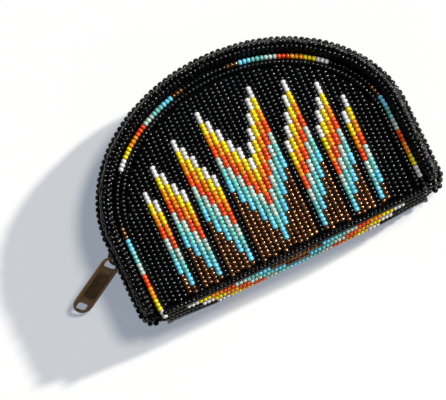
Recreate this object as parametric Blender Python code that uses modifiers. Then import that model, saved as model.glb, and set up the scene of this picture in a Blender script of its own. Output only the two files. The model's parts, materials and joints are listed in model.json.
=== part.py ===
"""Beaded coin purse with a zip round its crown, lying on its back.

Metres, +Z up. X runs across the purse, Y from its bottom to its crown, Z from the back to the front.
The purse is drawn with Y = 0 at the crease between the front panel and the bottom, and its mid-plane
at half its depth. Its front and back are alike: a panel of beadwork, one row of accent beads round it,
a raised rim and an edge row of larger beads. The zip runs between the two edge rows on a true circle,
so the slider turns about that circle's centre. Above the fold line the front opens like a mouth; below
it the sides are sewn together.
"""

import math

import bmesh
import bpy
import numpy as np
from mathutils import Matrix, Vector

# Outline of the purse, seen from the front
HALF_WIDTH = 0.0590
CROWN_HEIGHT = 0.0468  # half-ellipse above the straight sides
SIDE_HEIGHT = 0.0310  # straight side, from the bottom crease up
FOLD = 0.0310  # the front bends here, above the crease, when the mouth opens
TAIL_LENGTH = 0.0040  # the rims run on past the bottom crease
TAIL_DRAW_IN = 0.0012  # the sides draw in towards the ends of the rims
DRAW_IN_HEIGHT = 0.0090

# Depth
DEPTH = 0.0270
PANEL_RECESS = 0.0030  # from the crest of the rim down to the panel
BEADWORK = 0.0020  # thickness of a sheet of beads
PANEL_RIB_PITCH = 0.0041  # one rib of a panel for every two strings of beads
PANEL_RIB_HEIGHT = 0.0009
LINING = 0.0005
CLEARANCE = 0.0003  # between pieces that touch

# Rows round the panel, as insets from the outermost beads
EDGE_BEAD = 0.0022
EDGE_BEAD_WAIST = 0.0011
RIM_OUTER = 0.0015
RIM_HEIGHT = 0.0057  # from its underside to its crest
RIM_ROUND = 0.0060  # rise of the rim's round section, which the crest cuts flat
ACCENT_INSET = 0.0080
ACCENT_BEAD = 0.0019

# Bottom strip
GUSSET_EDGE = 0.0010  # its edges lie this far below the crease
GUSSET_BULGE = 0.0020  # and its middle bulges this much further

# Zip
ZIP_SIDE_RECESS = 0.0050  # from the outermost beads in to the chain, at the sides
ZIP_CROWN_RECESS = 0.0045  # the same at the crown
ZIP_SEWN_LENGTH = 0.0100  # chain below the fold, at both sides
TOOTH_PITCH = 0.0030
TOOTH_LENGTH = 0.0015  # along the chain, without its flanks
TOOTH_FLANK = 0.0004
TOOTH_HEIGHT = 0.00245
TOOTH_THICKNESS = 0.0016
CORD_THICKNESS = 0.0008
CORD_WIDTH = 0.0009
CORD_SETBACK = 0.0002  # from the roots of the teeth
TAPE = 0.0005
TAPE_SEAM_INSET = 0.0034
TAPE_CORNER = 0.0023  # its tails turn round the ends of the bottom strip
STOP_LENGTH = 0.0016
STOP_THICKNESS = 0.0022

# Slider
SLIDER_LENGTH = 0.0092
SLIDER_PLATE = 0.0007
SLIDER_WEB = 0.0005
SLIDER_WEB_LENGTH = 0.0028
SLIDER_SIDE_PLAY = 0.0005  # beside the roots of the teeth
SLIDER_NOSE_FLANGE = 0.0012
SLIDER_REAR_FLANGE = 0.0008
SLIDER_CORNER = 0.0006
BRIDGE_WIRE = 0.0009
BRIDGE_RADIUS = 0.0029
BRIDGE_LEG = 0.0016

# Puller
PULLER_LENGTH = 0.0248
PULLER_WIDTH = 0.0074
PULLER_THICKNESS = 0.0007
PULLER_EYE_WIDTH = 0.0052
PULLER_EYE_LENGTH = 0.0034
PULLER_EYE_WALL = 0.0008
PULLER_EYE_SHIFT = 0.0006  # the wire of the bridge bears on the inner end of the eye
PULLER_WINDOW_WIDTH = 0.0042
PULLER_WINDOW_LENGTH = 0.0030
PULLER_WINDOW_ROUND = 0.0010
PULLER_BORDER = 0.0012
PULLER_RECESS = 0.0001
PULLER_RECESS_LENGTH = 0.0110
PULLER_NOSE = 0.0008  # round of the eye's end
PULLER_ROLL_DEG = -42.0  # it lies almost flat, seen from the front
PULLER_DROOP_DEG = 24.0  # its tip leans down towards what the purse lies on
PULLER_SWING_DEG = 33.0  # from straight out, towards the end of the zip

# Facets
OUTLINE_STEP = 0.0055
STRAND_STEP = 0.0060
SEAM_STEP = 0.0014
RIM_SEGMENTS = 10
GUSSET_SEGMENTS = 10
CORNER_SEGMENTS = 4
ARC_SEGMENTS = 8
BEAD_RESOLUTION = 1
WIRE_RESOLUTION = 2
SAMPLES = 400
SHARP_DEG = 35.0
WELD = 0.00001
OVERRUN = 0.0010  # cutters run past what they cut

# Levels, from the mid-plane between front and back
MID = DEPTH / 2
PANEL_FACE = MID - PANEL_RECESS
PANEL_BACK = PANEL_FACE - BEADWORK
LINING_FACE = PANEL_BACK - CLEARANCE
RIM_UNDERSIDE = MID - RIM_HEIGHT
EDGE_LEVEL = RIM_UNDERSIDE - CLEARANCE - EDGE_BEAD / 2
TOOTH_TIP = SLIDER_WEB / 2 + CLEARANCE  # the web passes between the tips
TOOTH_ROOT = TOOTH_TIP + TOOTH_HEIGHT
CORD_ROOT = TOOTH_ROOT - CORD_SETBACK
CORD_TIP = CORD_ROOT - CORD_WIDTH
CHANNEL_EDGE = TOOTH_ROOT + SLIDER_SIDE_PLAY
TAPE_TURN = CHANNEL_EDGE + SLIDER_NOSE_FLANGE + CLEARANCE + TAPE / 2
TAPE_SEAM = RIM_UNDERSIDE - CLEARANCE - TAPE / 2

# Insets, and places along the outline and the zip
HALF_GAP = CLEARANCE / 2
PANEL_INSET = ACCENT_INSET + ACCENT_BEAD / 2 + CLEARANCE
RIM_INNER = ACCENT_INSET - ACCENT_BEAD / 2 - CLEARANCE
LINING_INSET = RIM_INNER + CLEARANCE
GUSSET_HALF_LENGTH = HALF_WIDTH - TAIL_DRAW_IN - RIM_INNER - CLEARANCE
CROWN = SIDE_HEIGHT + CROWN_HEIGHT
ZIP_RADIUS = HALF_WIDTH - ZIP_SIDE_RECESS
ZIP_CENTRE = CROWN - ZIP_CROWN_RECESS - ZIP_RADIUS  # above the crease
FOLD_ANGLE = math.asin((FOLD - ZIP_CENTRE) / ZIP_RADIUS)
END_ANGLE = FOLD_ANGLE - ZIP_SEWN_LENGTH / ZIP_RADIUS
SLIDER_ANGLE = (END_ANGLE + FOLD_ANGLE) / 2  # it parks half way between the stop and the fold

# What a straight slider needs to follow the bent chain
SLIDER_SAG = SLIDER_LENGTH**2 / (8 * ZIP_RADIUS)
SLIDER_CHANNEL = TOOTH_THICKNESS + 2 * (CLEARANCE + SLIDER_SAG)
SLIDER_TAPE_SLOT = TAPE + 2 * (CLEARANCE + SLIDER_SAG)


def material(name, colour, roughness, metallic=0.0):
    made = bpy.data.materials.new(name)
    made.use_nodes = True
    shader = made.node_tree.nodes["Principled BSDF"]
    shader.inputs["Base Color"].default_value = (*colour, 1.0)
    shader.inputs["Roughness"].default_value = roughness
    shader.inputs["Metallic"].default_value = metallic
    return made


def add(name, data, finish, collection, smooth=True):
    """An object of its own, in its collection, with its own material."""
    made = bpy.data.objects.new(name, data)
    collection.objects.link(made)
    if finish:
        data.materials.append(finish)
    if smooth and isinstance(data, bpy.types.Mesh):
        data.shade_smooth()
        data.set_sharp_from_angle(angle=math.radians(SHARP_DEG))
    return made


def left_line(inset, low, high, step, count=None):
    """Left half of the purse's outline, moved in by inset, from height low up to high (None: the crown)."""
    heights = np.linspace(-TAIL_LENGTH, SIDE_HEIGHT, SAMPLES)
    drop = np.clip((DRAW_IN_HEIGHT - TAIL_LENGTH - heights) / DRAW_IN_HEIGHT, 0, 1)
    side = np.column_stack([-(HALF_WIDTH - TAIL_DRAW_IN * drop**2), heights])
    turn = np.linspace(0, math.pi / 2, SAMPLES)[1:]
    arch = np.column_stack([-HALF_WIDTH * np.cos(turn), SIDE_HEIGHT + CROWN_HEIGHT * np.sin(turn)])
    line = np.vstack([side, arch])
    along = np.gradient(line, axis=0)
    along /= np.linalg.norm(along, axis=1, keepdims=True)
    along[-1] = (1, 0)
    line = line + inset * np.column_stack([along[:, 1], -along[:, 0]])
    top = line[-1, 1] if high is None else high
    inside = (line[:, 1] > low) & (line[:, 1] < top)
    first = (np.interp(low, line[:, 1], line[:, 0]), low)
    last = (np.interp(top, line[:, 1], line[:, 0]), top)
    line = np.vstack([first, line[inside], last])
    return even(line, step, count)


def even(line, step, count=None):
    """The same line with evenly spaced points, about step apart or count of them."""
    length = np.concatenate([[0], np.cumsum(np.linalg.norm(np.diff(line, axis=0), axis=1))])
    count = count or max(2, round(length[-1] / step) + 1)
    places = np.linspace(0, length[-1], count)
    return np.column_stack([np.interp(places, length, column) for column in line.T])


def mirrored(line):
    """The line on the right, running down where the left one runs up."""
    return (line * (-1, 1))[::-1]


def whole_line(inset, low, step):
    left = left_line(inset, low, None, step)
    return np.vstack([left, mirrored(left)[1:]])


def side_lines(inset, low, high, step):
    left = left_line(inset, low, high, step)
    return {"left": left, "right": mirrored(left)}


def plate(name, outlines, thickness, level, finish, collection):
    """Flat sheet from closed outlines, level with its middle."""
    curve = bpy.data.curves.new(name, "CURVE")
    curve.dimensions = "2D"
    curve.fill_mode = "BOTH"
    curve.extrude = thickness / 2
    for outline in outlines:
        spline = curve.splines.new("POLY")
        spline.points.add(len(outline) - 1)
        for point, place in zip(spline.points, outline):
            point.co = (*place, 0, 1)
        spline.use_cyclic_u = True
    made = add(name, curve, finish, collection)
    made.location.z = level
    return made


def strand(name, line, radii, resolution, level, finish, collection):
    """Round strand along an open line, with its radius at each point."""
    curve = bpy.data.curves.new(name, "CURVE")
    curve.dimensions = "3D"
    curve.bevel_depth = max(radii)
    curve.bevel_resolution = resolution
    curve.use_fill_caps = True
    spline = curve.splines.new("POLY")
    spline.points.add(len(line) - 1)
    for point, place, size in zip(spline.points, line, radii):
        point.co = (*place, 0, 1)
        point.radius = size / curve.bevel_depth
    made = add(name, curve, finish, collection)
    made.location.z = level
    return made


def loft(name, rings, finish, collection):
    """Closed solid through rings of points, given as an array (ring, point, xyz)."""
    count, sides = rings.shape[:2]
    faces = [tuple(reversed(range(sides))), tuple(range((count - 1) * sides, count * sides))]
    for ring in range(count - 1):
        for side in range(sides):
            a = ring * sides + side
            b = ring * sides + (side + 1) % sides
            faces.append((a, b, b + sides, a + sides))
    mesh = bpy.data.meshes.new(name)
    mesh.from_pydata(rings.reshape(-1, 3).tolist(), [], faces)
    shape = bmesh.new()
    shape.from_mesh(mesh)
    bmesh.ops.recalc_face_normals(shape, faces=shape.faces)
    shape.to_mesh(mesh)
    shape.free()
    return add(name, mesh, finish, collection)


def rim_rings(low, high, face):
    """Rings of the left half of a round rim between two heights; its crest is cut flat."""
    half = (RIM_INNER - RIM_OUTER) / 2
    turn = np.linspace(0, math.pi, RIM_SEGMENTS + 1)
    insets = RIM_OUTER + half - half * np.cos(turn)
    levels = MID + face * np.minimum(RIM_UNDERSIDE + RIM_ROUND * np.sin(turn), MID)
    count = len(left_line(0, low, high, OUTLINE_STEP))
    lines = [left_line(inset, low, high, OUTLINE_STEP, count) for inset in insets]
    flat = np.stack(lines, axis=1)
    return np.dstack([flat, np.broadcast_to(levels, flat.shape[:2])])


def mirrored_rings(rings):
    return (rings * (-1, 1, 1))[::-1]


def bead_strand(line):
    """Points and radii of a strand of beads: full at each bead and drawn in between two."""
    length = np.linalg.norm(np.diff(line, axis=0), axis=1).sum()
    beads = round(length / EDGE_BEAD)
    points = even(line, length / (2 * beads))
    radii = np.where(np.arange(len(points)) % 2, EDGE_BEAD / 2, EDGE_BEAD_WAIST / 2)
    return points, radii


def on_zip(angles):
    """Places on the zip's circle; 0 is at the right and half a turn at the left."""
    angles = np.atleast_1d(angles)
    return np.column_stack([ZIP_RADIUS * np.cos(angles), ZIP_CENTRE + ZIP_RADIUS * np.sin(angles)])


def seam_reach(angles):
    """How far outwards of the zip's circle the tape is sewn to the rim, along each ray."""
    seam = whole_line(TAPE_SEAM_INSET, -TAIL_LENGTH, SEAM_STEP)
    rays = np.arctan2(seam[:, 1] - ZIP_CENTRE, seam[:, 0])
    rays = np.where(rays < -math.pi / 2, rays + 2 * math.pi, rays)
    order = np.argsort(rays)
    away = np.hypot(seam[:, 0], seam[:, 1] - ZIP_CENTRE)
    return np.interp(angles, rays[order], away[order]) - ZIP_RADIUS


def tape_lines(first, last):
    """Chain edge and seam edge of the tape between two angles on the circle."""
    count = max(3, round((last - first) * ZIP_RADIUS / OUTLINE_STEP) + 1)
    angles = np.linspace(first, last, count)
    chain = on_zip(angles)
    reach = seam_reach(angles)[:, None]
    return chain, chain + reach * np.column_stack([np.cos(angles), np.sin(angles)])


def tail_lines(side):
    """Tape below the end of the zip: straight down, then round the bottom corner to the gusset."""
    start = on_zip(END_ANGLE)[0]
    turn = np.linspace(0, math.pi / 2, CORNER_SEGMENTS)
    corner = (GUSSET_HALF_LENGTH + CLEARANCE, TAPE_CORNER - GUSSET_EDGE - GUSSET_BULGE / 2)
    outward = np.column_stack([np.cos(turn), -np.sin(turn)])
    arc = corner + TAPE_CORNER * outward
    below = start - (0, STOP_LENGTH)
    chain = np.vstack([start, below, arc])
    reach = seam_reach(END_ANGLE)
    seam = chain + reach * np.vstack([(1, 0), (1, 0), outward])
    flip = np.array((side, 1))
    return chain * flip, seam * flip


def tape(name, lines, face, finish, collection):
    """Woven tape: an open surface from the teeth out to the seam under the rim, with a thickness.

    Its tails, below the end of the zip, meet those of the other tape at the mid-plane.
    """
    chain, seam = lines
    count = len(chain)
    end = on_zip(END_ANGLE)[0, 1] - CLEARANCE
    inner = np.where(chain[:, 1] < end, HALF_GAP, TOOTH_ROOT + CLEARANCE)
    turn = np.full(count, TAPE_TURN)
    sewn = np.full(count, TAPE_SEAM)
    rows = ((chain, inner), (chain, turn), (seam, sewn))
    points = [
        (x, y, MID + face * level) for line, levels in rows for (x, y), level in zip(line, levels)
    ]
    faces = []
    for row in range(len(rows) - 1):
        for place in range(count - 1):
            a = row * count + place
            faces.append((a, a + 1, a + 1 + count, a + count))
    mesh = bpy.data.meshes.new(name)
    mesh.from_pydata(points, [], faces)
    made = add(name, mesh, finish, collection)
    wall = made.modifiers.new("tape", "SOLIDIFY")
    wall.thickness = TAPE
    wall.offset = 0
    wall.use_even_offset = True
    return made


def chain_rings(first, last, face):
    """Teeth on their cord between two angles: four rings for each tooth, wide at it and narrow between."""
    pitch = TOOTH_PITCH / ZIP_RADIUS
    count = int((last - first) / pitch)
    start = (first + last - (count - 1) * pitch) / 2
    half = TOOTH_LENGTH / 2 / ZIP_RADIUS
    flank = TOOTH_FLANK / ZIP_RADIUS
    angles = []
    wide = []
    for tooth in range(count):
        middle = start + tooth * pitch
        angles += [middle - half - flank, middle - half, middle + half, middle + half + flank]
        wide += [0, 1, 1, 0]
    angles = np.array(angles)[:, None]
    wide = np.array(wide)[:, None]
    thick = np.where(wide, TOOTH_THICKNESS, CORD_THICKNESS) / 2
    tip = np.where(wide, TOOTH_TIP, CORD_TIP)
    root = np.where(wide, TOOTH_ROOT, CORD_ROOT)
    radii = ZIP_RADIUS + np.hstack([thick, thick, -thick, -thick])
    levels = MID + face * np.hstack([tip, root, root, tip])
    return np.dstack([radii * np.cos(angles), ZIP_CENTRE + radii * np.sin(angles), levels])


def stop_rings(angle, low, high):
    """Block across the chain at an angle, from one level to another about the mid-plane."""
    half = STOP_LENGTH / 2 / ZIP_RADIUS
    angles = np.array([angle - half, angle + half])[:, None]
    thick = STOP_THICKNESS / 2
    radii = ZIP_RADIUS + np.array([thick, thick, -thick, -thick])[None, :]
    levels = MID + np.array([[low, high, high, low]] * 2)
    return np.dstack([radii * np.cos(angles), ZIP_CENTRE + radii * np.sin(angles), levels])


def box(name, size, place, collection):
    mesh = bpy.data.meshes.new(name)
    shape = bmesh.new()
    bmesh.ops.create_cube(shape, size=1.0)
    bmesh.ops.scale(shape, verts=shape.verts, vec=size)
    bmesh.ops.translate(shape, verts=shape.verts, vec=place)
    shape.to_mesh(mesh)
    shape.free()
    return add(name, mesh, None, collection, smooth=False)


def to_mesh(source):
    """A curve object as a mesh object with its caps welded."""
    graph = bpy.context.evaluated_depsgraph_get()
    mesh = bpy.data.meshes.new_from_object(source.evaluated_get(graph))
    shape = bmesh.new()
    shape.from_mesh(mesh)
    bmesh.ops.remove_doubles(shape, verts=shape.verts, dist=WELD)
    bmesh.ops.recalc_face_normals(shape, faces=shape.faces)
    shape.to_mesh(mesh)
    shape.free()
    made = bpy.data.objects.new(source.name, mesh)
    made.matrix_world = source.matrix_world
    for collection in source.users_collection:
        collection.objects.link(made)
    name = source.name
    bpy.data.objects.remove(source)
    made.name = name
    return made


def boolean(target, tool, operation):
    cut = target.modifiers.new(tool.name, "BOOLEAN")
    cut.operation = operation
    cut.solver = "EXACT"
    cut.object = tool
    tool.hide_render = True
    tool.display_type = "WIRE"


def rounded(length, width, radius):
    """Closed outline of a rectangle with round corners, about its middle."""
    turn = np.linspace(0, math.pi / 2, CORNER_SEGMENTS + 1)
    arc = radius * np.column_stack([np.cos(turn), np.sin(turn)])
    place = np.array([length / 2 - radius, width / 2 - radius])
    first = arc + place
    second = (arc * (-1, 1) + place * (-1, 1))[::-1]
    return np.vstack([first, second, -first, -second])


def rib_cutter(name, face, collection):
    """Block with a ridged face, which leaves the strings of beads of a panel standing as ribs."""
    count = math.ceil(2 * HALF_WIDTH / PANEL_RIB_PITCH)
    places = np.arange(-count, count + 1)
    levels = PANEL_FACE - PANEL_RIB_HEIGHT * (places % 2)
    ridges = np.column_stack([places * PANEL_RIB_PITCH / 2, MID + face * levels])
    under = MID + face * (PANEL_BACK - OVERRUN)
    section = np.vstack([ridges, (ridges[-1, 0], under), (ridges[0, 0], under)])
    rings = [np.column_stack([section[:, 0], np.full(len(section), y), section[:, 1]])
             for y in (-OVERRUN, CROWN + OVERRUN)]
    return loft(name, np.stack(rings), None, collection)


def panels(parts, cutters, finish):
    """The four sheets of the panels: the back is whole, and the front is in two at the fold."""
    middle = PANEL_FACE - BEADWORK / 2
    whole = whole_line(PANEL_INSET, 0, OUTLINE_STEP)
    upper = whole_line(PANEL_INSET, FOLD + HALF_GAP, OUTLINE_STEP)
    sides = side_lines(PANEL_INSET, 0, FOLD - HALF_GAP, OUTLINE_STEP)
    lower = np.vstack(list(sides.values()))
    ribs = {face: rib_cutter(f"ribs_{face}", face, cutters) for face in (-1, 1)}
    sheets = (("back_panel", whole, -1), ("front_panel_upper", upper, 1), ("front_panel_lower", lower, 1))
    for name, line, face in sheets:
        sheet = to_mesh(plate(name, [line], BEADWORK, MID + face * middle, finish, parts))
        boolean(sheet, ribs[face], "INTERSECT")


def linings(parts, finish):
    """Lining of the back and of the two parts of the front, down to the lining of the bottom."""
    low = gusset_lining_section()[:, 0].max() + CLEARANCE
    middle = LINING_FACE - LINING / 2
    whole = whole_line(LINING_INSET, low, OUTLINE_STEP)
    plate("back_lining", [whole], LINING, MID - middle, finish, parts)
    upper = whole_line(LINING_INSET, FOLD + HALF_GAP, OUTLINE_STEP)
    plate("front_lining_upper", [upper], LINING, MID + middle, finish, parts)
    sides = side_lines(LINING_INSET, low, FOLD - HALF_GAP, OUTLINE_STEP)
    lower = np.vstack(list(sides.values()))
    plate("front_lining_lower", [lower], LINING, MID + middle, finish, parts)


def rims(parts, finish):
    """The back rim is whole; the front one has an upper part and two ends below the fold."""
    whole = rim_rings(-TAIL_LENGTH, None, -1)
    loft("back_rim", np.vstack([whole, mirrored_rings(whole)[1:]]), finish, parts)
    upper = rim_rings(FOLD + HALF_GAP, None, 1)
    loft("front_rim", np.vstack([upper, mirrored_rings(upper)[1:]]), finish, parts)
    end = rim_rings(-TAIL_LENGTH, FOLD - HALF_GAP, 1)
    loft("front_rim_end_left", end, finish, parts)
    loft("front_rim_end_right", mirrored_rings(end), finish, parts)


def edge_beads(parts, finish):
    inset = EDGE_BEAD / 2
    low = EDGE_BEAD_WAIST / 2 - TAIL_LENGTH
    step = EDGE_BEAD / 2
    lines = {
        "back_edge_beads": (whole_line(inset, low, step), -1),
        "front_edge_beads": (whole_line(inset, FOLD + HALF_GAP, step), 1),
    }
    for side, line in side_lines(inset, low, FOLD - HALF_GAP, step).items():
        lines[f"front_edge_beads_{side}"] = (line, 1)
    for name, (line, face) in lines.items():
        points, radii = bead_strand(line)
        strand(name, points, radii, BEAD_RESOLUTION, MID + face * EDGE_LEVEL, finish, parts)


def accent_rows(parts, finish):
    level = PANEL_FACE - ACCENT_BEAD / 2
    lines = {
        "back_accent_row": (whole_line(ACCENT_INSET, 0, STRAND_STEP), -1),
        "front_accent_row": (whole_line(ACCENT_INSET, FOLD + HALF_GAP, STRAND_STEP), 1),
    }
    for side, line in side_lines(ACCENT_INSET, 0, FOLD - HALF_GAP, STRAND_STEP).items():
        lines[f"front_accent_end_{side}"] = (line, 1)
    for name, (line, face) in lines.items():
        radii = [ACCENT_BEAD / 2] * len(line)
        strand(name, line, radii, BEAD_RESOLUTION, MID + face * level, finish, parts)


def gusset_arc(half, rise):
    """Arc across the bottom strip in (Y, Z), rise above the strip's outer face, out to half on both sides."""
    levels = np.linspace(-half, half, GUSSET_SEGMENTS + 1)
    bulge = GUSSET_BULGE * (1 - (levels / PANEL_FACE) ** 2)
    return np.column_stack([rise - CLEARANCE - GUSSET_EDGE - bulge, levels])


def gusset_section():
    """Strip of beadwork, cut level at the top where it meets the panels."""
    inner = gusset_arc(PANEL_FACE, BEADWORK)
    inner[:, 0] = np.minimum(inner[:, 0], -CLEARANCE)
    return np.vstack([gusset_arc(PANEL_FACE, 0), inner[::-1]])


def gusset_lining_section():
    half = LINING_FACE - LINING - CLEARANCE
    under = BEADWORK + CLEARANCE
    return np.vstack([gusset_arc(half, under), gusset_arc(half, under + LINING)[::-1]])


def bottom(parts, beads, cloth):
    """Bottom strip and its lining, extruded across the purse."""
    sections = {
        "bottom_gusset": (gusset_section(), beads),
        "gusset_lining": (gusset_lining_section(), cloth),
    }
    for name, (section, finish) in sections.items():
        made = plate(name, [section], 2 * GUSSET_HALF_LENGTH, 0, finish, parts)
        made.rotation_euler = (math.pi / 2, 0, math.pi / 2)
        made.location = (0, 0, MID)


def with_tails(middle, right=None, left=None):
    """Chain and seam edges of a tape with its tails: the right one comes before it, the left one after."""
    chain, seam = middle
    if right is not None:
        chain = np.vstack([right[0][:0:-1], chain])
        seam = np.vstack([right[1][:0:-1], seam])
    if left is not None:
        chain = np.vstack([chain, left[0][1:]])
        seam = np.vstack([seam, left[1][1:]])
    return chain, seam


def zip_tapes(parts, finish):
    gap = HALF_GAP / ZIP_RADIUS
    right = tail_lines(1)
    left = tail_lines(-1)
    whole = tape_lines(END_ANGLE, math.pi - END_ANGLE)
    tape("back_zip_tape", with_tails(whole, right, left), -1, finish, parts)
    mouth = tape_lines(FOLD_ANGLE + gap, math.pi - FOLD_ANGLE - gap)
    tape("front_zip_tape", mouth, 1, finish, parts)
    low_right = tape_lines(END_ANGLE, FOLD_ANGLE - gap)
    low_left = tape_lines(math.pi - FOLD_ANGLE + gap, math.pi - END_ANGLE)
    tape("front_zip_tape_end_right", with_tails(low_right, right=right), 1, finish, parts)
    tape("front_zip_tape_end_left", with_tails(low_left, left=left), 1, finish, parts)


def zip_teeth(parts, finish):
    gap = HALF_GAP / ZIP_RADIUS
    stop = (STOP_LENGTH + CLEARANCE) / ZIP_RADIUS
    first = END_ANGLE + stop
    last = math.pi - first
    loft("back_zip_teeth", chain_rings(first, last, -1), finish, parts)
    low = FOLD_ANGLE + gap
    loft("front_zip_teeth", chain_rings(low, math.pi - low, 1), finish, parts)
    high = FOLD_ANGLE - gap
    loft("front_zip_teeth_end_right", chain_rings(first, high, 1), finish, parts)
    loft("front_zip_teeth_end_left", chain_rings(math.pi - high, last, 1), finish, parts)


def zip_stops(parts, finish):
    """Two stops side by side where the zip closes, and one across both tapes at the other end."""
    place = END_ANGLE + STOP_LENGTH / 2 / ZIP_RADIUS
    closed = math.pi - place
    loft("front_top_stop", stop_rings(closed, TOOTH_TIP, TOOTH_ROOT), finish, parts)
    loft("back_top_stop", stop_rings(closed, -TOOTH_ROOT, -TOOTH_TIP), finish, parts)
    loft("bottom_stop", stop_rings(place, -TOOTH_ROOT, TOOTH_ROOT), finish, parts)


def slider(parts, cutters, finish, axis):
    """Slider body: a block with a channel for the chain, slots for the tapes, a web and a bridge."""
    half = SLIDER_CHANNEL / 2 + SLIDER_PLATE
    nose = CHANNEL_EDGE + SLIDER_NOSE_FLANGE
    rear = CHANNEL_EDGE + SLIDER_REAR_FLANGE
    length = SLIDER_LENGTH / 2
    corner = SLIDER_CORNER
    outline = np.array(
        [
            (length, nose - corner),
            (length - corner, nose),
            (length - SLIDER_WEB_LENGTH, nose),
            (0, rear),
            (corner - length, rear),
            (-length, rear - corner),
        ]
    )
    outline = np.vstack([outline, (outline * (1, -1))[::-1]])
    block = plate("slider_body", [outline], 2 * half, 0, finish, parts)
    block = to_mesh(block)
    block.data.transform(Matrix(((0, 0, 1, 0), (1, 0, 0, 0), (0, 1, 0, 0), (0, 0, 0, 1))))

    through = SLIDER_LENGTH + OVERRUN
    web = SLIDER_WEB / 2
    lane = (SLIDER_CHANNEL, through, CHANNEL_EDGE - web)
    for sign in (-1, 1):
        cut = box(f"chain_lane_{sign}", lane, (0, 0, sign * (CHANNEL_EDGE + web) / 2), cutters)
        boolean(block, cut, "DIFFERENCE")
    behind = SLIDER_LENGTH - SLIDER_WEB_LENGTH + OVERRUN
    place = -SLIDER_LENGTH / 2 - OVERRUN + behind / 2
    cut = box("behind_web", (SLIDER_CHANNEL, behind, CHANNEL_EDGE), (0, place, 0), cutters)
    boolean(block, cut, "DIFFERENCE")
    inner = CHANNEL_EDGE - CLEARANCE
    outer = nose + OVERRUN
    slot = (SLIDER_TAPE_SLOT, through, outer - inner)
    for sign in (-1, 1):
        cut = box(f"tape_slot_{sign}", slot, (0, 0, sign * (outer + inner) / 2), cutters)
        boolean(block, cut, "DIFFERENCE")

    turn = np.linspace(0, math.pi, ARC_SEGMENTS + 1)
    top = half + BRIDGE_LEG
    arch = np.column_stack([top + BRIDGE_RADIUS * np.sin(turn), BRIDGE_RADIUS * np.cos(turn)])
    foot = half - SLIDER_PLATE / 2
    legs = np.vstack([(foot, BRIDGE_RADIUS), arch, (foot, -BRIDGE_RADIUS)])
    radii = np.full(len(legs), BRIDGE_WIRE / 2)
    wire = to_mesh(strand("bridge", legs, radii, WIRE_RESOLUTION, 0, None, cutters))
    boolean(block, wire, "UNION")

    place = Matrix.Rotation(math.pi - SLIDER_ANGLE, 4, "Z") @ Matrix.Translation((ZIP_RADIUS, 0, 0))
    for made in (block, *cutters.objects):
        made.parent = axis
        made.matrix_parent_inverse = Matrix()
        made.matrix_basis = place @ made.matrix_basis
    return place @ Matrix.Translation((top, 0, 0))


def puller(parts, cutters, finish, axis, hang):
    """Flat tab with an eye over the bridge, a sunk middle and a window near its round end."""
    back = PULLER_EYE_LENGTH / 2 + PULLER_EYE_WALL
    front = PULLER_LENGTH - back
    half = PULLER_WIDTH / 2
    turn = np.linspace(-math.pi / 2, math.pi / 2, ARC_SEGMENTS + 1)
    tip = np.column_stack([front - half + half * np.cos(turn), half * np.sin(turn)])
    nose = np.linspace(math.pi / 2, math.pi, CORNER_SEGMENTS)
    round_nose = half - PULLER_NOSE
    heel = np.column_stack(
        [round_nose * (1 + np.cos(nose)) - back, PULLER_NOSE + round_nose * np.sin(nose)]
    )
    outline = np.vstack([tip, heel, (heel * (1, -1))[::-1]])
    eye = rounded(PULLER_EYE_LENGTH, PULLER_EYE_WIDTH, PULLER_EYE_LENGTH / 2 - CLEARANCE)
    window = rounded(PULLER_WINDOW_LENGTH, PULLER_WINDOW_WIDTH, PULLER_WINDOW_ROUND)
    window = window + (front - PULLER_BORDER - PULLER_WINDOW_LENGTH / 2, 0)
    tab = to_mesh(plate("puller_tab", [outline, eye, window], PULLER_THICKNESS, 0, finish, parts))

    sunk = rounded(PULLER_RECESS_LENGTH, PULLER_WIDTH - 2 * PULLER_BORDER, PULLER_BORDER)
    middle = (front - back) / 2
    for sign in (-1, 1):
        level = sign * (PULLER_THICKNESS / 2 - PULLER_RECESS + OVERRUN / 2)
        cut = to_mesh(plate(f"sunk_{sign}", [sunk + (middle, 0)], OVERRUN, level, None, cutters))
        boolean(tab, cut, "DIFFERENCE")

    tilt = (
        hang
        @ Matrix.Rotation(math.radians(PULLER_SWING_DEG), 4, "Z")
        @ Matrix.Translation((BRIDGE_RADIUS, 0, 0))
        @ Matrix.Rotation(math.radians(PULLER_DROOP_DEG), 4, "Y")
        @ Matrix.Rotation(math.radians(PULLER_ROLL_DEG), 4, "X")
        @ Matrix.Translation((PULLER_EYE_SHIFT, 0, 0))
    )
    pivot = bpy.data.objects.new("puller_pivot", None)
    parts.objects.link(pivot)
    pivot.parent = axis
    pivot.location = hang.translation
    made = [tab] + [cutter for cutter in cutters.objects if cutter.name.startswith("sunk")]
    for piece in made:
        piece.parent = pivot
        piece.matrix_basis = Matrix.Translation(-hang.translation) @ tilt @ piece.matrix_basis
    return pivot


def set_down(parts, cutters):
    """Moves everything so that the origin is under the middle of the purse with its puller."""
    bpy.context.view_layer.update()
    graph = bpy.context.evaluated_depsgraph_get()
    corners = []
    for made in parts.objects:
        if made.type != "EMPTY":
            shape = made.evaluated_get(graph)
            corners += [shape.matrix_world @ vertex.co for vertex in shape.to_mesh().vertices]
            shape.to_mesh_clear()
    corners = np.array([tuple(corner) for corner in corners])
    low = corners.min(axis=0)
    high = corners.max(axis=0)
    shift = Vector((-(low[0] + high[0]) / 2, -(low[1] + high[1]) / 2, -low[2]))
    for made in (*parts.objects, *cutters.objects):
        if made.parent is None:
            made.location += shift
    return shift


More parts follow.
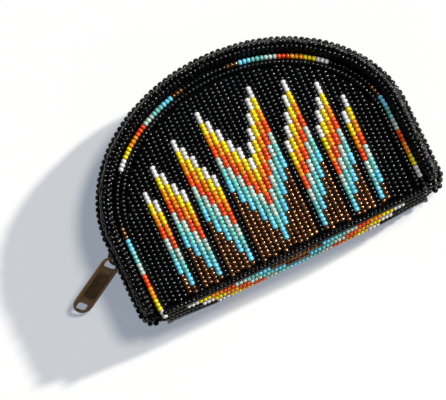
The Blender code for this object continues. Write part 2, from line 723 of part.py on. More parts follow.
def main():
    for made in list(bpy.data.objects):
        bpy.data.objects.remove(made)
    parts = bpy.data.collections.new("beaded_coin_purse")
    cutters = bpy.data.collections.new("cutters")
    bpy.context.scene.collection.children.link(parts)
    bpy.context.scene.collection.children.link(cutters)

    beads = material("black_beads", (0.012, 0.012, 0.014), 0.15)
    accent = material("coloured_beads", (0.30, 0.55, 0.52), 0.2)
    cloth = material("lining_cloth", (0.02, 0.02, 0.025), 0.85)
    tape_cloth = material("tape_cloth", (0.018, 0.018, 0.02), 0.8)
    brass = material("tooth_brass", (0.42, 0.31, 0.16), 0.35, 1.0)
    bronze = material("aged_bronze", (0.18, 0.12, 0.07), 0.38, 1.0)

    rims(parts, beads)
    edge_beads(parts, beads)
    accent_rows(parts, accent)
    bottom(parts, beads, cloth)
    linings(parts, cloth)
    zip_tapes(parts, tape_cloth)
    zip_teeth(parts, brass)
    zip_stops(parts, brass)

    axis = bpy.data.objects.new("slider_axis", None)
    parts.objects.link(axis)
    axis.location = (0, ZIP_CENTRE, MID)
    hang = slider(parts, cutters, bronze, axis)
    pivot = puller(parts, cutters, bronze, axis, hang)
    panels(parts, cutters, beads)  # after the slider, which takes all cutters made so far along

    set_down(parts, cutters)
    bpy.context.view_layer.update()
    for name in (axis.name, pivot.name):
        place = bpy.data.objects[name].matrix_world.translation
        print(name, [round(value, 6) for value in place])
    panel = bpy.data.objects["front_panel_upper"]
    print("fold", round(panel.location.y + FOLD, 6), round(DEPTH, 6))
    print("crease", round(panel.location.y, 6), "middle", round(panel.location.x, 6))
    print("slider angle", round(math.degrees(SLIDER_ANGLE), 4))


main()
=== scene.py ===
"""Dresses the coin purse: beadwork, lining, zip, slider, puller and the table that it lies on."""
import json
import math

import bpy
import numpy as np
from bpy.props import FloatProperty, FloatVectorProperty, IntProperty, PointerProperty
from mathutils import Matrix, Vector


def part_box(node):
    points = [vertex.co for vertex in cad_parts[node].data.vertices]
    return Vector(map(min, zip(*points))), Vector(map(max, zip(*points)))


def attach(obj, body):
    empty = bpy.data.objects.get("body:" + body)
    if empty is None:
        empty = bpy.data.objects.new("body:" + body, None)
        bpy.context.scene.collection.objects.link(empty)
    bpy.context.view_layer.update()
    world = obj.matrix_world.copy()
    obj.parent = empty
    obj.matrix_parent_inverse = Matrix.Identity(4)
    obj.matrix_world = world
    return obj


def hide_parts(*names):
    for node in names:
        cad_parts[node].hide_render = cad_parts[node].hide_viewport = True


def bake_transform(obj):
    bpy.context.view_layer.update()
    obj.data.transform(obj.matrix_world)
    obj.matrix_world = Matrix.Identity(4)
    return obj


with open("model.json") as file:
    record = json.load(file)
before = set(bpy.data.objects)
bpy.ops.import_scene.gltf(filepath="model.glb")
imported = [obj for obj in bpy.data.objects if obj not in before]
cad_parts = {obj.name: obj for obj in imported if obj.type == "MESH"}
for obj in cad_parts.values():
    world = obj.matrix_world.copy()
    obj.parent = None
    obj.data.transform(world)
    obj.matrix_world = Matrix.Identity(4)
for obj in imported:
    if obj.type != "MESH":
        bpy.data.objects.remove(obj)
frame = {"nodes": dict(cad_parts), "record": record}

bl_info = {
    "name": "Beaded Coin Purse",
    "version": (1, 0, 0),
    "blender": (4, 5, 0),
    "location": "3D View > Sidebar > Coin Purse",
    "description": "Strings the beadwork of a half-round coin purse and finishes its lining and zip",
    "category": "Object",
}

# Places taken from the frame: the purse's middle, its bottom crease, its fold and its mid-plane
FOLD_JOINT = frame["record"]["behaviour"]["joints"][0]["pos_m"]
MIDDLE_X = sum(corner.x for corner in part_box("back_panel")) / 2
FOLD_HEIGHT = 0.0310
CREASE_Y = FOLD_JOINT[1] - FOLD_HEIGHT
MID_Z = FOLD_JOINT[2] / 2
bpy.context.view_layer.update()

MM = 0.001

# Bead colours, by their place in a flame from its tip down
BLACK, WHITE, YELLOW, ORANGE, RED, GREY_GREEN, TURQUOISE, LIGHT_BLUE, BROWN = range(9)
BANDS = (WHITE, YELLOW, ORANGE, RED, GREY_GREEN, TURQUOISE, LIGHT_BLUE)
BAND_BEADS = 3

# Upper and lower end of the flame on each string, in millimetres above the crease
FLAMES = {
    -19: (41.5, 9.6), -18: (37.3, 4.3), -16: (48.7, 16.7), -15: (44.9, 12.6), -14: (39.8, 7.3),
    -13: (36.3, 3.3), -11: (53.9, 22.0), -10: (50.0, 17.0), -9: (45.7, 12.8), -8: (40.4, 7.3),
    -7: (36.4, 3.1), -5: (59.2, 27.7), -4: (54.6, 22.8), -3: (50.3, 18.8), -2: (45.1, 13.9),
    -1: (41.3, 9.7), 0: (36.2, 4.7), 1: (41.4, 9.4), 2: (45.9, 13.6), 3: (50.8, 19.1), 4: (56.0, 23.4),
    5: (59.7, 27.7), 7: (36.2, 3.1), 8: (41.0, 8.5), 9: (45.5, 12.9), 10: (51.3, 18.8), 11: (56.4, 24.0),
    13: (36.4, 2.9), 14: (41.3, 8.8), 15: (45.5, 12.6), 16: (50.6, 18.2), 18: (37.1, 3.1), 19: (42.5, 8.5),
}
FLAME_BEADS = 21
OUTER_STRING = 23

# Strings, how far each stands off its even place at the crease, and its lean, in millimetres and
# millimetres for each ten of height; the strings between go by the nearest two
STRING_PLACES = (
    (-23, 0.0, 0.10), (-19, -0.1, 0.11), (-11, -0.3, 0.18), (-5, -0.4, 0.10), (0, -0.3, 0.05),
    (5, -0.5, 0.07), (11, -0.4, 0.02), (16, -0.8, 0.11), (19, -1.2, 0.28), (23, -1.4, 0.30),
)


# Settings

def a_length(name, description, default):
    """A length that a user may change."""
    return FloatProperty(name=name, description=description, default=default, subtype="DISTANCE",
                         unit="LENGTH")


def an_angle(name, description, degrees):
    """An angle that a user may change."""
    return FloatProperty(name=name, description=description, default=math.radians(degrees), subtype="ANGLE",
                         unit="ROTATION")


def a_colour(name, description, default):
    """A colour that a user may change."""
    return FloatVectorProperty(name=name, description=description, default=default, size=3, subtype="COLOR")


def a_share(name, description, default, most=1.0):
    """A share that a user may change, from nothing to the most."""
    return FloatProperty(name=name, description=description, default=default, min=0.0, max=most,
                         subtype="FACTOR")


class PurseForm(bpy.types.PropertyGroup):
    """Sizes of the purse's body."""

    half_width: a_length("Half Width", "From the middle to the outermost beads", 0.0590)
    crown_height: a_length("Crown Height", "Rise of the half-ellipse above the sides", 0.0468)
    side_height: a_length("Side Height", "Straight side above the bottom crease", 0.0310)
    tail_length: a_length("Tail Length", "How far the rims run past the crease", 0.0040)
    tail_draw_in: a_length("Tail Draw-in", "How far the ends of the rims draw in", 0.0012)
    draw_in_height: a_length("Draw-in Height", "Height over which the ends draw in", 0.0090)
    panel_face: a_length("Panel Face", "From the mid-plane to the face of a panel", 0.0105)
    panel_dome: a_length("Panel Dome", "How far the soft panel bulges in its middle", 0.0014)
    rim_middle: a_length("Rim Middle", "Inset of the rim's crest", 0.004125)
    rim_half: a_length("Rim Half Width", "Half the width of the rim's round section", 0.002625)
    rim_base: a_length("Rim Base", "From the mid-plane to the foot of the rim", 0.0078)
    rim_crest: a_length("Rim Crest", "From the mid-plane to the crest of the rim", 0.0135)
    end_height: a_length("Tail Round Height", "Height at which a rim starts to round off", 0.0031)
    edge_inset: a_length("Edge Row Inset", "From the outline to the middle of the edge row", 0.0011)
    edge_level: a_length("Edge Row Level", "From the mid-plane to the edge row", 0.0064)
    accent_inset: a_length("Accent Row Inset", "From the outline to the accent row", 0.0080)
    border_inset: a_length("Border Row Inset", "From the outline to the panel's border row", 0.0101)
    gusset_half: a_length("Bottom Strip Half Length", "Half the length of the bottom strip", 0.05075)


class BeadSizes(bpy.types.PropertyGroup):
    """Sizes of the seed beads and of their stringing."""

    across: a_length("Bead Across", "Diameter of a seed bead", 0.00211)
    along: a_length("Bead Along", "Length of a seed bead along its thread", 0.00156)
    panel_pitch: a_length("Panel Pitch", "From bead to bead along a string of a panel", 0.001585)
    string_pitch: a_length("String Pitch", "From string to string of a panel", 0.002046)
    row_pitch: a_length("Row Pitch", "From bead to bead along rows that follow the outline", 0.00153)
    edge_pitch: a_length("Edge Pitch", "From bead to bead along the edge row", 0.00216)
    size_spread: a_share("Size Spread", "How much the beads differ in size", 0.03, 0.2)
    tilt_spread: an_angle("Tilt Spread", "How far the beads lean on their thread", 4.0)
    seed: IntProperty(name="Seed", description="Seed for the small differences between beads", default=11)


class ZipSizes(bpy.types.PropertyGroup):
    """Sizes of the zip's tapes and teeth, and of the lining."""

    radius: a_length("Zip Radius", "Circle that the chain follows", 0.0540)
    centre: a_length("Zip Centre", "Height of that circle's middle above the crease", 0.0193)
    end_angle: an_angle("End Angle", "Where the chain ends, above the circle's middle", 1.903)
    stop_length: a_length("Stop Length", "Chain left free for a stop, with its play", 0.0019)
    tooth_pitch: a_length("Tooth Pitch", "From tooth to tooth along the chain", 0.0030)
    tooth_length: a_length("Tooth Length", "Size of a tooth along the chain", 0.0017)
    tooth_thickness: a_length("Tooth Thickness", "Size of a tooth across the chain", 0.0016)
    tooth_tip: a_length("Tooth Tip", "From the mid-plane to the tips of the teeth", 0.00055)
    tooth_root: a_length("Tooth Root", "From the mid-plane to the roots of the teeth", 0.0030)
    tape_turn: a_length("Tape Turn", "From the mid-plane to where a tape turns outwards", 0.0050)
    tape_seam: a_length("Tape Seam", "From the mid-plane to the seam under the rim", 0.0073)
    seam_inset: a_length("Seam Inset", "From the outline to the seam of a tape", 0.0034)
    tail_round: a_length("Tail Round", "Round by which a tape's tail meets the strip", 0.0042)
    cloth: a_length("Cloth", "Thickness of the lining and the tapes", 0.0004)
    lining_level: a_length("Lining Level", "From the mid-plane to the lining", 0.0079)
    lining_inset: a_length("Lining Inset", "From the outline to the lining's edge", 0.0062)


class PurseColours(bpy.types.PropertyGroup):
    """Colours of the beads, the cloth and the metal."""

    black: a_colour("Black Beads", "Opaque black glass", (0.0016, 0.0016, 0.0019))
    white: a_colour("White Beads", "Chalk white glass", (0.86, 0.86, 0.85))
    yellow: a_colour("Yellow Beads", "Opaque yellow glass", (0.98, 0.76, 0.014))
    orange: a_colour("Orange Beads", "Opaque orange glass", (0.98, 0.31, 0.012))
    red: a_colour("Red Beads", "Opaque light red glass", (0.92, 0.082, 0.012))
    grey_green: a_colour("Grey-green Beads", "Pale grey-green glass", (0.53, 0.68, 0.60))
    turquoise: a_colour("Turquoise Beads", "Opaque turquoise glass", (0.19, 0.60, 0.555))
    light_blue: a_colour("Light Blue Beads", "Opaque light blue glass", (0.18, 0.68, 0.90))
    brown: a_colour("Brown Beads", "Brown lustre glass", (0.27, 0.130, 0.064))
    ground: a_colour("Ground Cloth", "Cloth under the beads", (0.0022, 0.0022, 0.0026))
    lining: a_colour("Lining", "Plain cloth lining", (0.020, 0.020, 0.025))
    tape: a_colour("Zip Tape", "Woven zip tape", (0.008, 0.008, 0.0095))
    brass: a_colour("Teeth", "Antique brass of the teeth and stops", (0.42, 0.31, 0.16))
    bronze: a_colour("Slider and Puller", "Dark aged bronze", (0.115, 0.070, 0.038))
    bronze_worn: a_colour("Rubbed Bronze", "Where the bronze is rubbed lighter", (0.36, 0.22, 0.12))


class StageSettings(bpy.types.PropertyGroup):
    """Camera, lamps and table."""

    elevation: an_angle("Elevation", "Camera above the table's plane", 80.5)
    roll: an_angle("Roll", "Turn of the picture about the line of sight", 25.47)
    picture_width: a_length("Picture Width", "Width of the view at the purse", 0.15816)
    aim_across: a_length("Aim Across", "Middle of the picture from the purse's middle", -0.01051)
    aim_up: a_length("Aim Up", "Middle of the picture from the purse's middle", -0.01198)
    distance: a_length("Distance", "From the camera to the purse", 0.90)
    key_elevation: an_angle("Key Elevation", "Height of the key lamp over the table", 29.0)
    key_azimuth: an_angle("Key Azimuth", "Direction of the key lamp from the right", 5.5)
    key_strength: FloatProperty(name="Key Strength", description="Strength of the key lamp", default=3.5)
    table: a_colour("Table", "Plain pale table", (0.76, 0.73, 0.68))
    table_lift: a_share("Table Lift", "How much whiter the table shows in the picture", 0.345)
    table_mirrored: a_share("Table Mirrored", "Share of that lift that gloss shows", 0.5)
    sky: a_colour("Fill Light", "Colour of the soft light all round", (0.055, 0.061, 0.072))
    box_strength: FloatProperty(name="Soft Box Strength", default=1.40,
                                description="Strength of the soft box above the key")


def settings(*groups):
    """The scene's settings, by the names of their groups."""
    return [getattr(bpy.context.scene, f"purse_{group}") for group in groups]


# Outline and places

OUTLINE_POINTS = 2401
DOME_HALF_WIDTH = 0.050
DOME_HALF_HEIGHT = 0.034
DOME_MIDDLE = 0.032


def outline(form, inset):
    """Whole outline from the left tail over the crown to the right one, moved in by inset.

    The left side is x = -(half width - draw-in * drop^2), with drop rising from 0 to 1 towards the
    tail's end. The arch is the half-ellipse x = -a cos t, y = side + b sin t. Both move in along their
    normal, and the right half mirrors the left. Returns evenly spaced points, with the unit vectors
    along the line and inwards.
    """
    heights = np.linspace(-form.tail_length, form.side_height, 400)
    drop = np.clip((form.draw_in_height - form.tail_length - heights) / form.draw_in_height, 0, 1)
    side = np.column_stack([-(form.half_width - form.tail_draw_in * drop**2), heights])
    turn = np.linspace(0, math.pi / 2, 600)[1:]
    arch = np.column_stack([-form.half_width * np.cos(turn),
                            form.side_height + form.crown_height * np.sin(turn)])
    left = np.vstack([side, arch])
    along = unit(np.gradient(left, axis=0))
    along[-1] = (1, 0)
    left = left + inset * np.column_stack([along[:, 1], -along[:, 0]])
    line = evened(np.vstack([left, (left * (-1, 1))[-2::-1]]), OUTLINE_POINTS)
    along = unit(np.gradient(line, axis=0))
    return line, along, np.column_stack([along[:, 1], -along[:, 0]])


def unit(vectors):
    """The same vectors at length 1."""
    return vectors / np.linalg.norm(vectors, axis=-1, keepdims=True)


def run(line):
    """Length of a line up to each of its points."""
    return np.concatenate([[0], np.cumsum(np.linalg.norm(np.diff(line, axis=0), axis=1))])


def read_at(columns, length, places):
    """Columns of values along a line, read at places along its length."""
    return np.column_stack([np.interp(places, length, column) for column in columns.T])


def evened(line, count):
    """The same line with its points evenly spaced."""
    length = run(line)
    return read_at(line, length, np.linspace(0, length[-1], count))


def strung(line, along, out, pitch, shift=0.0):
    """Even places along a line: points, thread directions, ways out, and their share of its length.

    The pitch is stretched a little so that a whole number of beads fits, and shift moves them on by
    that part of a bead.
    """
    length = run(line)
    count = max(2, round(length[-1] / pitch - shift))
    places = (np.arange(count) + 0.5 + shift / 2) * length[-1] / (count + shift)
    size = line.shape[1]
    columns = read_at(np.hstack([line, along, out]), length, places)
    return (columns[:, :size], unit(columns[:, size:2 * size]), unit(columns[:, 2 * size:]),
            places / length[-1])


def spaced(form, inset, low, pitch):
    """Even places along the outline at an inset, above a height: points, along and inward vectors."""
    line, along, inward = outline(form, inset)
    keep = line[:, 1] >= low
    return strung(line[keep], along[keep], inward[keep], pitch)[:3]


def inset_of(form, points):
    """How far inside the outline each point lies."""
    line = outline(form, 0.0)[0][::2]
    away = np.linalg.norm(points[:, None, :] - line[None, :, :], axis=2)
    return away.min(axis=1)


def inside(form, points):
    """Whether points lie inside the outline: below the side height any point between the sides does, and
    above it one with (x / a)^2 + ((y - side) / b)^2 under 1."""
    rise = np.clip(points[:, 1] - form.side_height, 0, None) / form.crown_height
    return (points[:, 0] / form.half_width) ** 2 + rise**2 < 1


def in_frame(flat, level, face):
    """World places of purse points: flat is (x, y) from the middle of the crease, level is from the
    mid-plane, and face is 1 for the front and -1 for the back."""
    level = np.broadcast_to(level, flat.shape[:-1])
    return np.stack([flat[..., 0] + MIDDLE_X, flat[..., 1] + CREASE_Y, MID_Z + face * level], axis=-1)


def dome(form, flat):
    """Bulge of a panel: the dome times a parabola across and one up, nothing at the border."""
    x = np.clip(flat[..., 0] / DOME_HALF_WIDTH, -1, 1)
    y = np.clip((flat[..., 1] - DOME_MIDDLE) / DOME_HALF_HEIGHT, -1, 1)
    return form.panel_dome * (1 - x**2) * (1 - y**2)


def dome_slope(form, flat):
    """Slope of the bulge along x and y, from differences over a tenth of a millimetre."""
    step = 0.0001
    ahead_x = dome(form, flat + (step, 0)) - dome(form, flat - (step, 0))
    ahead_y = dome(form, flat + (0, step)) - dome(form, flat - (0, step))
    return np.stack([ahead_x, ahead_y], axis=-1) / (2 * step)


# Meshes

def new_mesh(name, points, faces, finishes, indices=None, attributes=None):
    """A smooth mesh object from arrays, with its materials and its attributes on points."""
    mesh = bpy.data.meshes.new(name)
    mesh.from_pydata(points.reshape(-1, 3).tolist(), [], faces)
    for finish in finishes:
        mesh.materials.append(finish)
    mesh.polygons.foreach_set("use_smooth", np.ones(len(mesh.polygons), dtype=bool))
    if indices is not None:
        mesh.polygons.foreach_set("material_index", np.asarray(indices, dtype=np.int32))
    for key, values in (attributes or {}).items():
        layer = mesh.attributes.new(key, "FLOAT", "POINT")
        layer.data.foreach_set("value", np.asarray(values, dtype=np.float32))
    mesh.update()
    made = bpy.data.objects.new(name, mesh)
    bpy.context.scene.collection.objects.link(made)
    return made


def grid_faces(rows, columns, wrap=False, flip=False):
    """Quads between the points of a grid, row by row; wrap closes it across its columns."""
    row = np.arange(rows - 1)[:, None]
    column = np.arange(columns if wrap else columns - 1)[None, :]
    a = row * columns + column
    b = row * columns + (column + 1) % columns
    quads = np.stack([a, b, b + columns, a + columns], axis=-1).reshape(-1, 4)
    return (quads[:, ::-1] if flip else quads).tolist()


def uv_from_grid(made, u, v):
    """UV map of a grid, from one pair of values for each point."""
    mesh = made.data
    layer = mesh.uv_layers.new(name="weave")
    corner = np.empty(len(mesh.loops), dtype=np.int32)
    mesh.loops.foreach_get("vertex_index", corner)
    pairs = np.column_stack([np.ravel(u), np.ravel(v)])[corner]
    layer.data.foreach_set("uv", pairs.astype(np.float32).ravel())


def bead_shape(profile, sides):
    """One bead as a surface of revolution about X: rings at the profile's (place, radius) pairs, and a
    point at either end on the axis. Returns its points and faces."""
    profile = np.asarray(profile)
    turn = np.arange(sides) * 2 * math.pi / sides
    rings = profile[1:-1]
    points = np.stack([
        np.broadcast_to(rings[:, :1], (len(rings), sides)),
        rings[:, 1:] * np.cos(turn),
        rings[:, 1:] * np.sin(turn),
    ], axis=-1).reshape(-1, 3)
    first = len(points)
    points = np.vstack([points, [(profile[0, 0], 0, 0), (profile[-1, 0], 0, 0)]])
    faces = grid_faces(len(rings), sides, wrap=True, flip=True)
    last = (len(rings) - 1) * sides
    faces += [(first, (k + 1) % sides, k)[::-1] for k in range(sides)]
    faces += [(first + 1, last + k, last + (k + 1) % sides)[::-1] for k in range(sides)]
    return points, faces


# A bead of the panels and the firm rows, and one of the loose rows, whose hole shows
PLAIN_BEAD = bead_shape(
    [(-0.42, 0), (-0.49, 0.24), (-0.41, 0.41), (-0.19, 0.50), (0.19, 0.50), (0.41, 0.41), (0.49, 0.24),
     (0.42, 0)], 9
)
OPEN_BEAD = bead_shape(
    [(-0.1, 0), (-0.40, 0.14), (-0.5, 0.25), (-0.38, 0.42), (0, 0.5), (0.38, 0.42), (0.5, 0.25),
     (0.40, 0.14), (0.1, 0)], 10
)


def string_beads(name, shape, centres, threads, outs, sizes, colour, number):
    """Beads of one shape at many places: each is the shape, stretched to (along, across), with its
    hole along its thread and its side facing out, leaned and sized a little by chance.

    A bead's points are centre + along * x * thread + across * (y * side + z * out). The number sets
    the piece's own draws apart from those of the other pieces.
    """
    beads, = settings("beads")
    glass = finishes()
    chance = np.random.default_rng(beads.seed + number)
    count = len(centres)
    colour = np.broadcast_to(colour, count)
    threads = unit(threads + chance.normal(0, beads.tilt_spread, (count, 3)))
    outs = unit(outs - (outs * threads).sum(axis=1, keepdims=True) * threads)
    sides = np.cross(outs, threads)
    sizes = np.broadcast_to(sizes, (count, 2)) * (1 + chance.normal(0, beads.size_spread, (count, 2)))
    points, faces = shape
    along = (sizes[:, 0, None, None] * points[None, :, :1]) * threads[:, None, :]
    across = sizes[:, 1, None, None] * (points[None, :, 1:2] * sides[:, None, :]
                                        + points[None, :, 2:] * outs[:, None, :])
    places = centres[:, None, :] + along + across
    shift = len(points)
    all_faces = [tuple(k + bead * shift for k in face) for bead in range(count) for face in faces]
    used = np.unique(colour)
    slots = np.repeat(np.searchsorted(used, colour), len(faces))
    tint = np.repeat(chance.random(count), shift)
    return new_mesh(name, places, all_faces, [glass[c] for c in used], slots, {"bead_tint": tint})


# Finishes

class Nodes:
    """Short names for adding and joining the nodes of one material."""

    def __init__(self, name):
        self.made = bpy.data.materials.new(name)
        self.made.use_nodes = True
        self.tree = self.made.node_tree
        self.shader = self.tree.nodes["Principled BSDF"]
        self.places = self.add("ShaderNodeTexCoord").outputs

    def fill(self, node, sockets):
        """Sets a node's sockets by name or place: an output is joined to one, a value is written."""
        for key, value in sockets.items():
            if isinstance(value, bpy.types.NodeSocket):
                self.tree.links.new(value, node.inputs[key])
            else:
                node.inputs[key].default_value = value

    def add(self, kind, sockets=None, **properties):
        """A node with its properties and sockets."""
        node = self.tree.nodes.new(kind)
        for key, value in properties.items():
            setattr(node, key, value)
        self.fill(node, sockets or {})
        return node

    def set(self, **sockets):
        """Sets sockets of the shader; an underscore stands for a space."""
        self.fill(self.shader, {key.replace("_", " "): value for key, value in sockets.items()})

    def noise(self, scale, detail=3.0):
        sockets = {"Vector": self.places["Object"], "Scale": scale, "Detail": detail}
        return self.add("ShaderNodeTexNoise", sockets).outputs["Fac"]

    def ramp(self, value, low, high, start=0.0, end=1.0):
        """Colour from low to high as the value goes from start to end."""
        node = self.add("ShaderNodeValToRGB", {"Fac": value})
        for element, place, colour in zip(node.color_ramp.elements, (start, end), (low, high)):
            element.position = place
            element.color = (*colour, 1)
        return node.outputs["Color"]

    def spread(self, value, low, high, start=0.0, end=1.0):
        """Number from low to high as the value goes from start to end."""
        sockets = {"Value": value, "From Min": start, "From Max": end, "To Min": low, "To Max": high}
        return self.add("ShaderNodeMapRange", sockets).outputs["Result"]

    def math(self, operation, first, second):
        """Product or the like of two numbers."""
        return self.add("ShaderNodeMath", {0: first, 1: second}, operation=operation).outputs[0]

    def blend(self, kind, factor, first, second):
        """Mix of two colours by a factor."""
        sockets = {0: factor, 6: first, 7: second}
        return self.add("ShaderNodeMix", sockets, data_type="RGBA", blend_type=kind).outputs[2]

    def bump(self, height, strength, distance):
        sockets = {"Height": height, "Strength": strength, "Distance": distance}
        self.set(Normal=self.add("ShaderNodeBump", sockets).outputs["Normal"])

    def own_tint(self, colour, low, high):
        """A colour that each bead has a little darker or lighter than the next."""
        tint = self.add("ShaderNodeAttribute", attribute_name="bead_tint").outputs["Fac"]
        return self.ramp(tint, shade(colour, low), shade(colour, high))


def shade(colour, factor):
    """A colour made darker or lighter."""
    return tuple(min(1.0, part * factor) for part in colour)


def bead_finish(name, colour, low=0.80, high=1.12, rough=(0.16, 0.28), specular=0.5):
    """Pressed and fire-polished glass: each bead has its own tint, with faint clouds and a wavy gloss."""
    made = Nodes(name)
    cloud = made.ramp(made.noise(700.0), (0.86, 0.86, 0.86), (1.0, 1.0, 1.0), 0.3, 0.7)
    made.set(Base_Color=made.blend("MULTIPLY", 1.0, made.own_tint(colour, low, high), cloud),
             Roughness=made.spread(made.noise(1500.0), *rough), Specular_IOR_Level=specular)
    made.bump(made.noise(900.0, 1.0), 0.25, 0.0001)


def lustre_finish(name, colour):
    """Brown glass with a coppery lustre on its curve."""
    made = Nodes(name)
    made.set(Base_Color=made.own_tint(colour, 0.6, 1.35), Metallic=0.85,
             Roughness=made.spread(made.noise(1300.0), 0.17, 0.26))
    made.bump(made.noise(900.0, 1.0), 0.25, 0.0001)


def cloth_finish(name, colour, threads_per_metre, strength=0.5, sheen=0.25, specular=0.5):
    """Plain weave: two sets of fine waves across each other on the piece's UV map, with slubs."""
    made = Nodes(name)
    sockets = {"Vector": made.places["UV"], "Scale": threads_per_metre / 6.28, "Distortion": 0.6,
               "Detail Scale": 2.0}
    waves = [made.add("ShaderNodeTexWave", sockets, wave_type="BANDS", bands_direction=way)
             for way in ("X", "Y")]
    weave = made.math("MULTIPLY", *[wave.outputs["Fac"] for wave in waves])
    slub = made.ramp(made.noise(400.0, 4.0), shade(colour, 0.65), shade(colour, 1.5), 0.3, 0.7)
    tone = made.ramp(weave, (0.55, 0.55, 0.55), (1.0, 1.0, 1.0), 0.0, 0.6)
    made.set(Base_Color=made.blend("MULTIPLY", 1.0, slub, tone),
             Roughness=made.spread(made.noise(300.0), 0.75, 0.95), Specular_IOR_Level=specular,
             Sheen_Weight=sheen, Sheen_Roughness=0.5)
    made.bump(weave, strength, 0.0002)


def metal_finish(name, colour, worn, rough=(0.28, 0.55), wear=(0.45, 0.75)):
    """Aged metal: brown in its hollows, rubbed lighter on its edges, with fine scratches and spots."""
    made = Nodes(name)
    cloud = made.noise(260.0, 5.0)
    spots = made.noise(1800.0, 2.0)
    base = made.ramp(cloud, shade(colour, 0.7), shade(colour, 1.3), 0.35, 0.7)
    edge = made.add("ShaderNodeNewGeometry").outputs["Pointiness"]
    rubbed = made.math("MULTIPLY", made.spread(edge, 0.0, 1.0, 0.50, 0.58), made.spread(spots, *wear))
    light = made.ramp(spots, shade(worn, 0.8), shade(worn, 1.2), 0.3, 0.7)
    made.set(Base_Color=made.blend("MIX", rubbed, base, light), Roughness=made.spread(cloud, *rough),
             Metallic=1.0)
    made.bump(spots, 0.15, 0.0001)


# Each glass: the darkest and lightest share of its colour, then its roughness and specular level
GLASS = {
    "black": (0.7, 1.4, (0.17, 0.24), 0.45), "white": (0.92, 1.04), "yellow": (0.88, 1.06),
    "orange": (0.84, 1.10), "red": (), "grey_green": (0.86, 1.16), "turquoise": (0.80, 1.18),
    "light_blue": (0.82, 1.14),
}


def finishes():
    """Bead materials in the order of their colours, made once and then found by name."""
    names = [*GLASS, "brown"]
    if "black_bead" not in bpy.data.materials:
        colours, = settings("colours")
        for name, values in GLASS.items():
            bead_finish(f"{name}_bead", getattr(colours, name), *values)
        lustre_finish("brown_bead", colours.brown)
        cloth_finish("ground_cloth", colours.ground, 2200.0, sheen=0.0, specular=0.06)
        cloth_finish("lining_cloth", colours.lining, 2600.0)
        cloth_finish("tape_weave", colours.tape, 3200.0, 0.8, sheen=0.04, specular=0.10)
        metal_finish("antique_brass", colours.brass, shade(colours.brass, 1.5), (0.22, 0.45))
        metal_finish("aged_bronze_finish", colours.bronze, colours.bronze_worn)
    return [bpy.data.materials[f"{name}_bead"] for name in names]


# Nodes of the frame that the pieces of the two sides stand for
STANDS_FOR = {
    "front_panel_beads": ("front_panel_upper", "front_panel_lower"),
    "back_panel_beads": ("back_panel",),
    "front_accent_beads": ("front_accent_row", "front_accent_end_left", "front_accent_end_right"),
    "back_accent_beads": ("back_accent_row",),
    "front_rim_beads": ("front_rim", "front_rim_end_left", "front_rim_end_right"),
    "back_rim_beads": ("back_rim",),
    "front_edge_row": ("front_edge_beads", "front_edge_beads_left", "front_edge_beads_right"),
    "back_edge_row": ("back_edge_beads",),
    "front_lining_cloth": ("front_lining_upper", "front_lining_lower"),
    "back_lining_cloth": ("back_lining",),
    "front_tape_cloth": ("front_zip_tape", "front_zip_tape_end_left", "front_zip_tape_end_right"),
    "back_tape_cloth": ("back_zip_tape",),
    "front_teeth": ("front_zip_teeth", "front_zip_teeth_end_left", "front_zip_teeth_end_right"),
    "back_teeth": ("back_zip_teeth",),
}
SIDE = {1: "front", -1: "back"}


def across_fold(made, face):
    """A back piece rides on the pouch and a front one has its place baked in; either hides the nodes that it
    stands for.
    """
    if made.name in STANDS_FOR:
        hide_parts(*STANDS_FOR[made.name])
    if face < 0:
        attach(made, "pouch")
        return
    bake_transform(made)


# Beadwork

MOST_BEADS = 46  # more beads than any string holds above or below its flame's tip
STRING_FOOT = 0.0014  # lowest bead of a string, above the crease
BORDER_FOOT = 0.0016  # lowest bead of the border row
BORDER_GAP = 0.0016  # from the border row to the beads inside it
CREASE_ROW_HALF = 0.0478  # half the length of the row along the crease
CREASE_ROW_HEIGHT = 0.0003
CREASE_ROW_SINK = 0.0004  # that row lies lower than the panel
GROUND_THICKNESS = 0.0003
GROUND_DEPTH = 0.0018  # from the face of a panel to its ground cloth
GROUND_MARGIN = 0.0012  # the ground cloth ends this far outside the accent row
GROUND_FOOT = -0.0002  # and here at the crease
GRID_POINTS = 61  # points each way in a half-round grid
GRID_STOP = 0.0001  # the grid ends this far under the crown


def string_heights(string, beads):
    """Height of the top bead of each string's flame and the string's own pitch.

    A flame's beads are spread between its two ends, and its string goes on at the same pitch. A string
    without a flame has the plain pitch, and every other one stands half a bead higher.
    """
    tops, pitches = [], []
    for k in range(-OUTER_STRING, OUTER_STRING + 1):
        if k in FLAMES:
            top, foot = FLAMES[k][0] * MM, FLAMES[k][1] * MM
            pitches.append((top - foot) / FLAME_BEADS)
            tops.append(top - pitches[-1] / 2)
        else:
            pitches.append(beads.panel_pitch)
            tops.append(beads.panel_pitch * (1.5 + 0.5 * (k % 2)))
    return np.array(tops)[string + OUTER_STRING], np.array(pitches)[string + OUTER_STRING]


def flame_colours(down):
    """Colours down from the tip of a flame: seven bands of three beads, then brown."""
    banded = np.array(BANDS)[np.clip(down // BAND_BEADS, 0, len(BANDS) - 1)]
    return np.where(down < FLAME_BEADS, banded, BROWN)


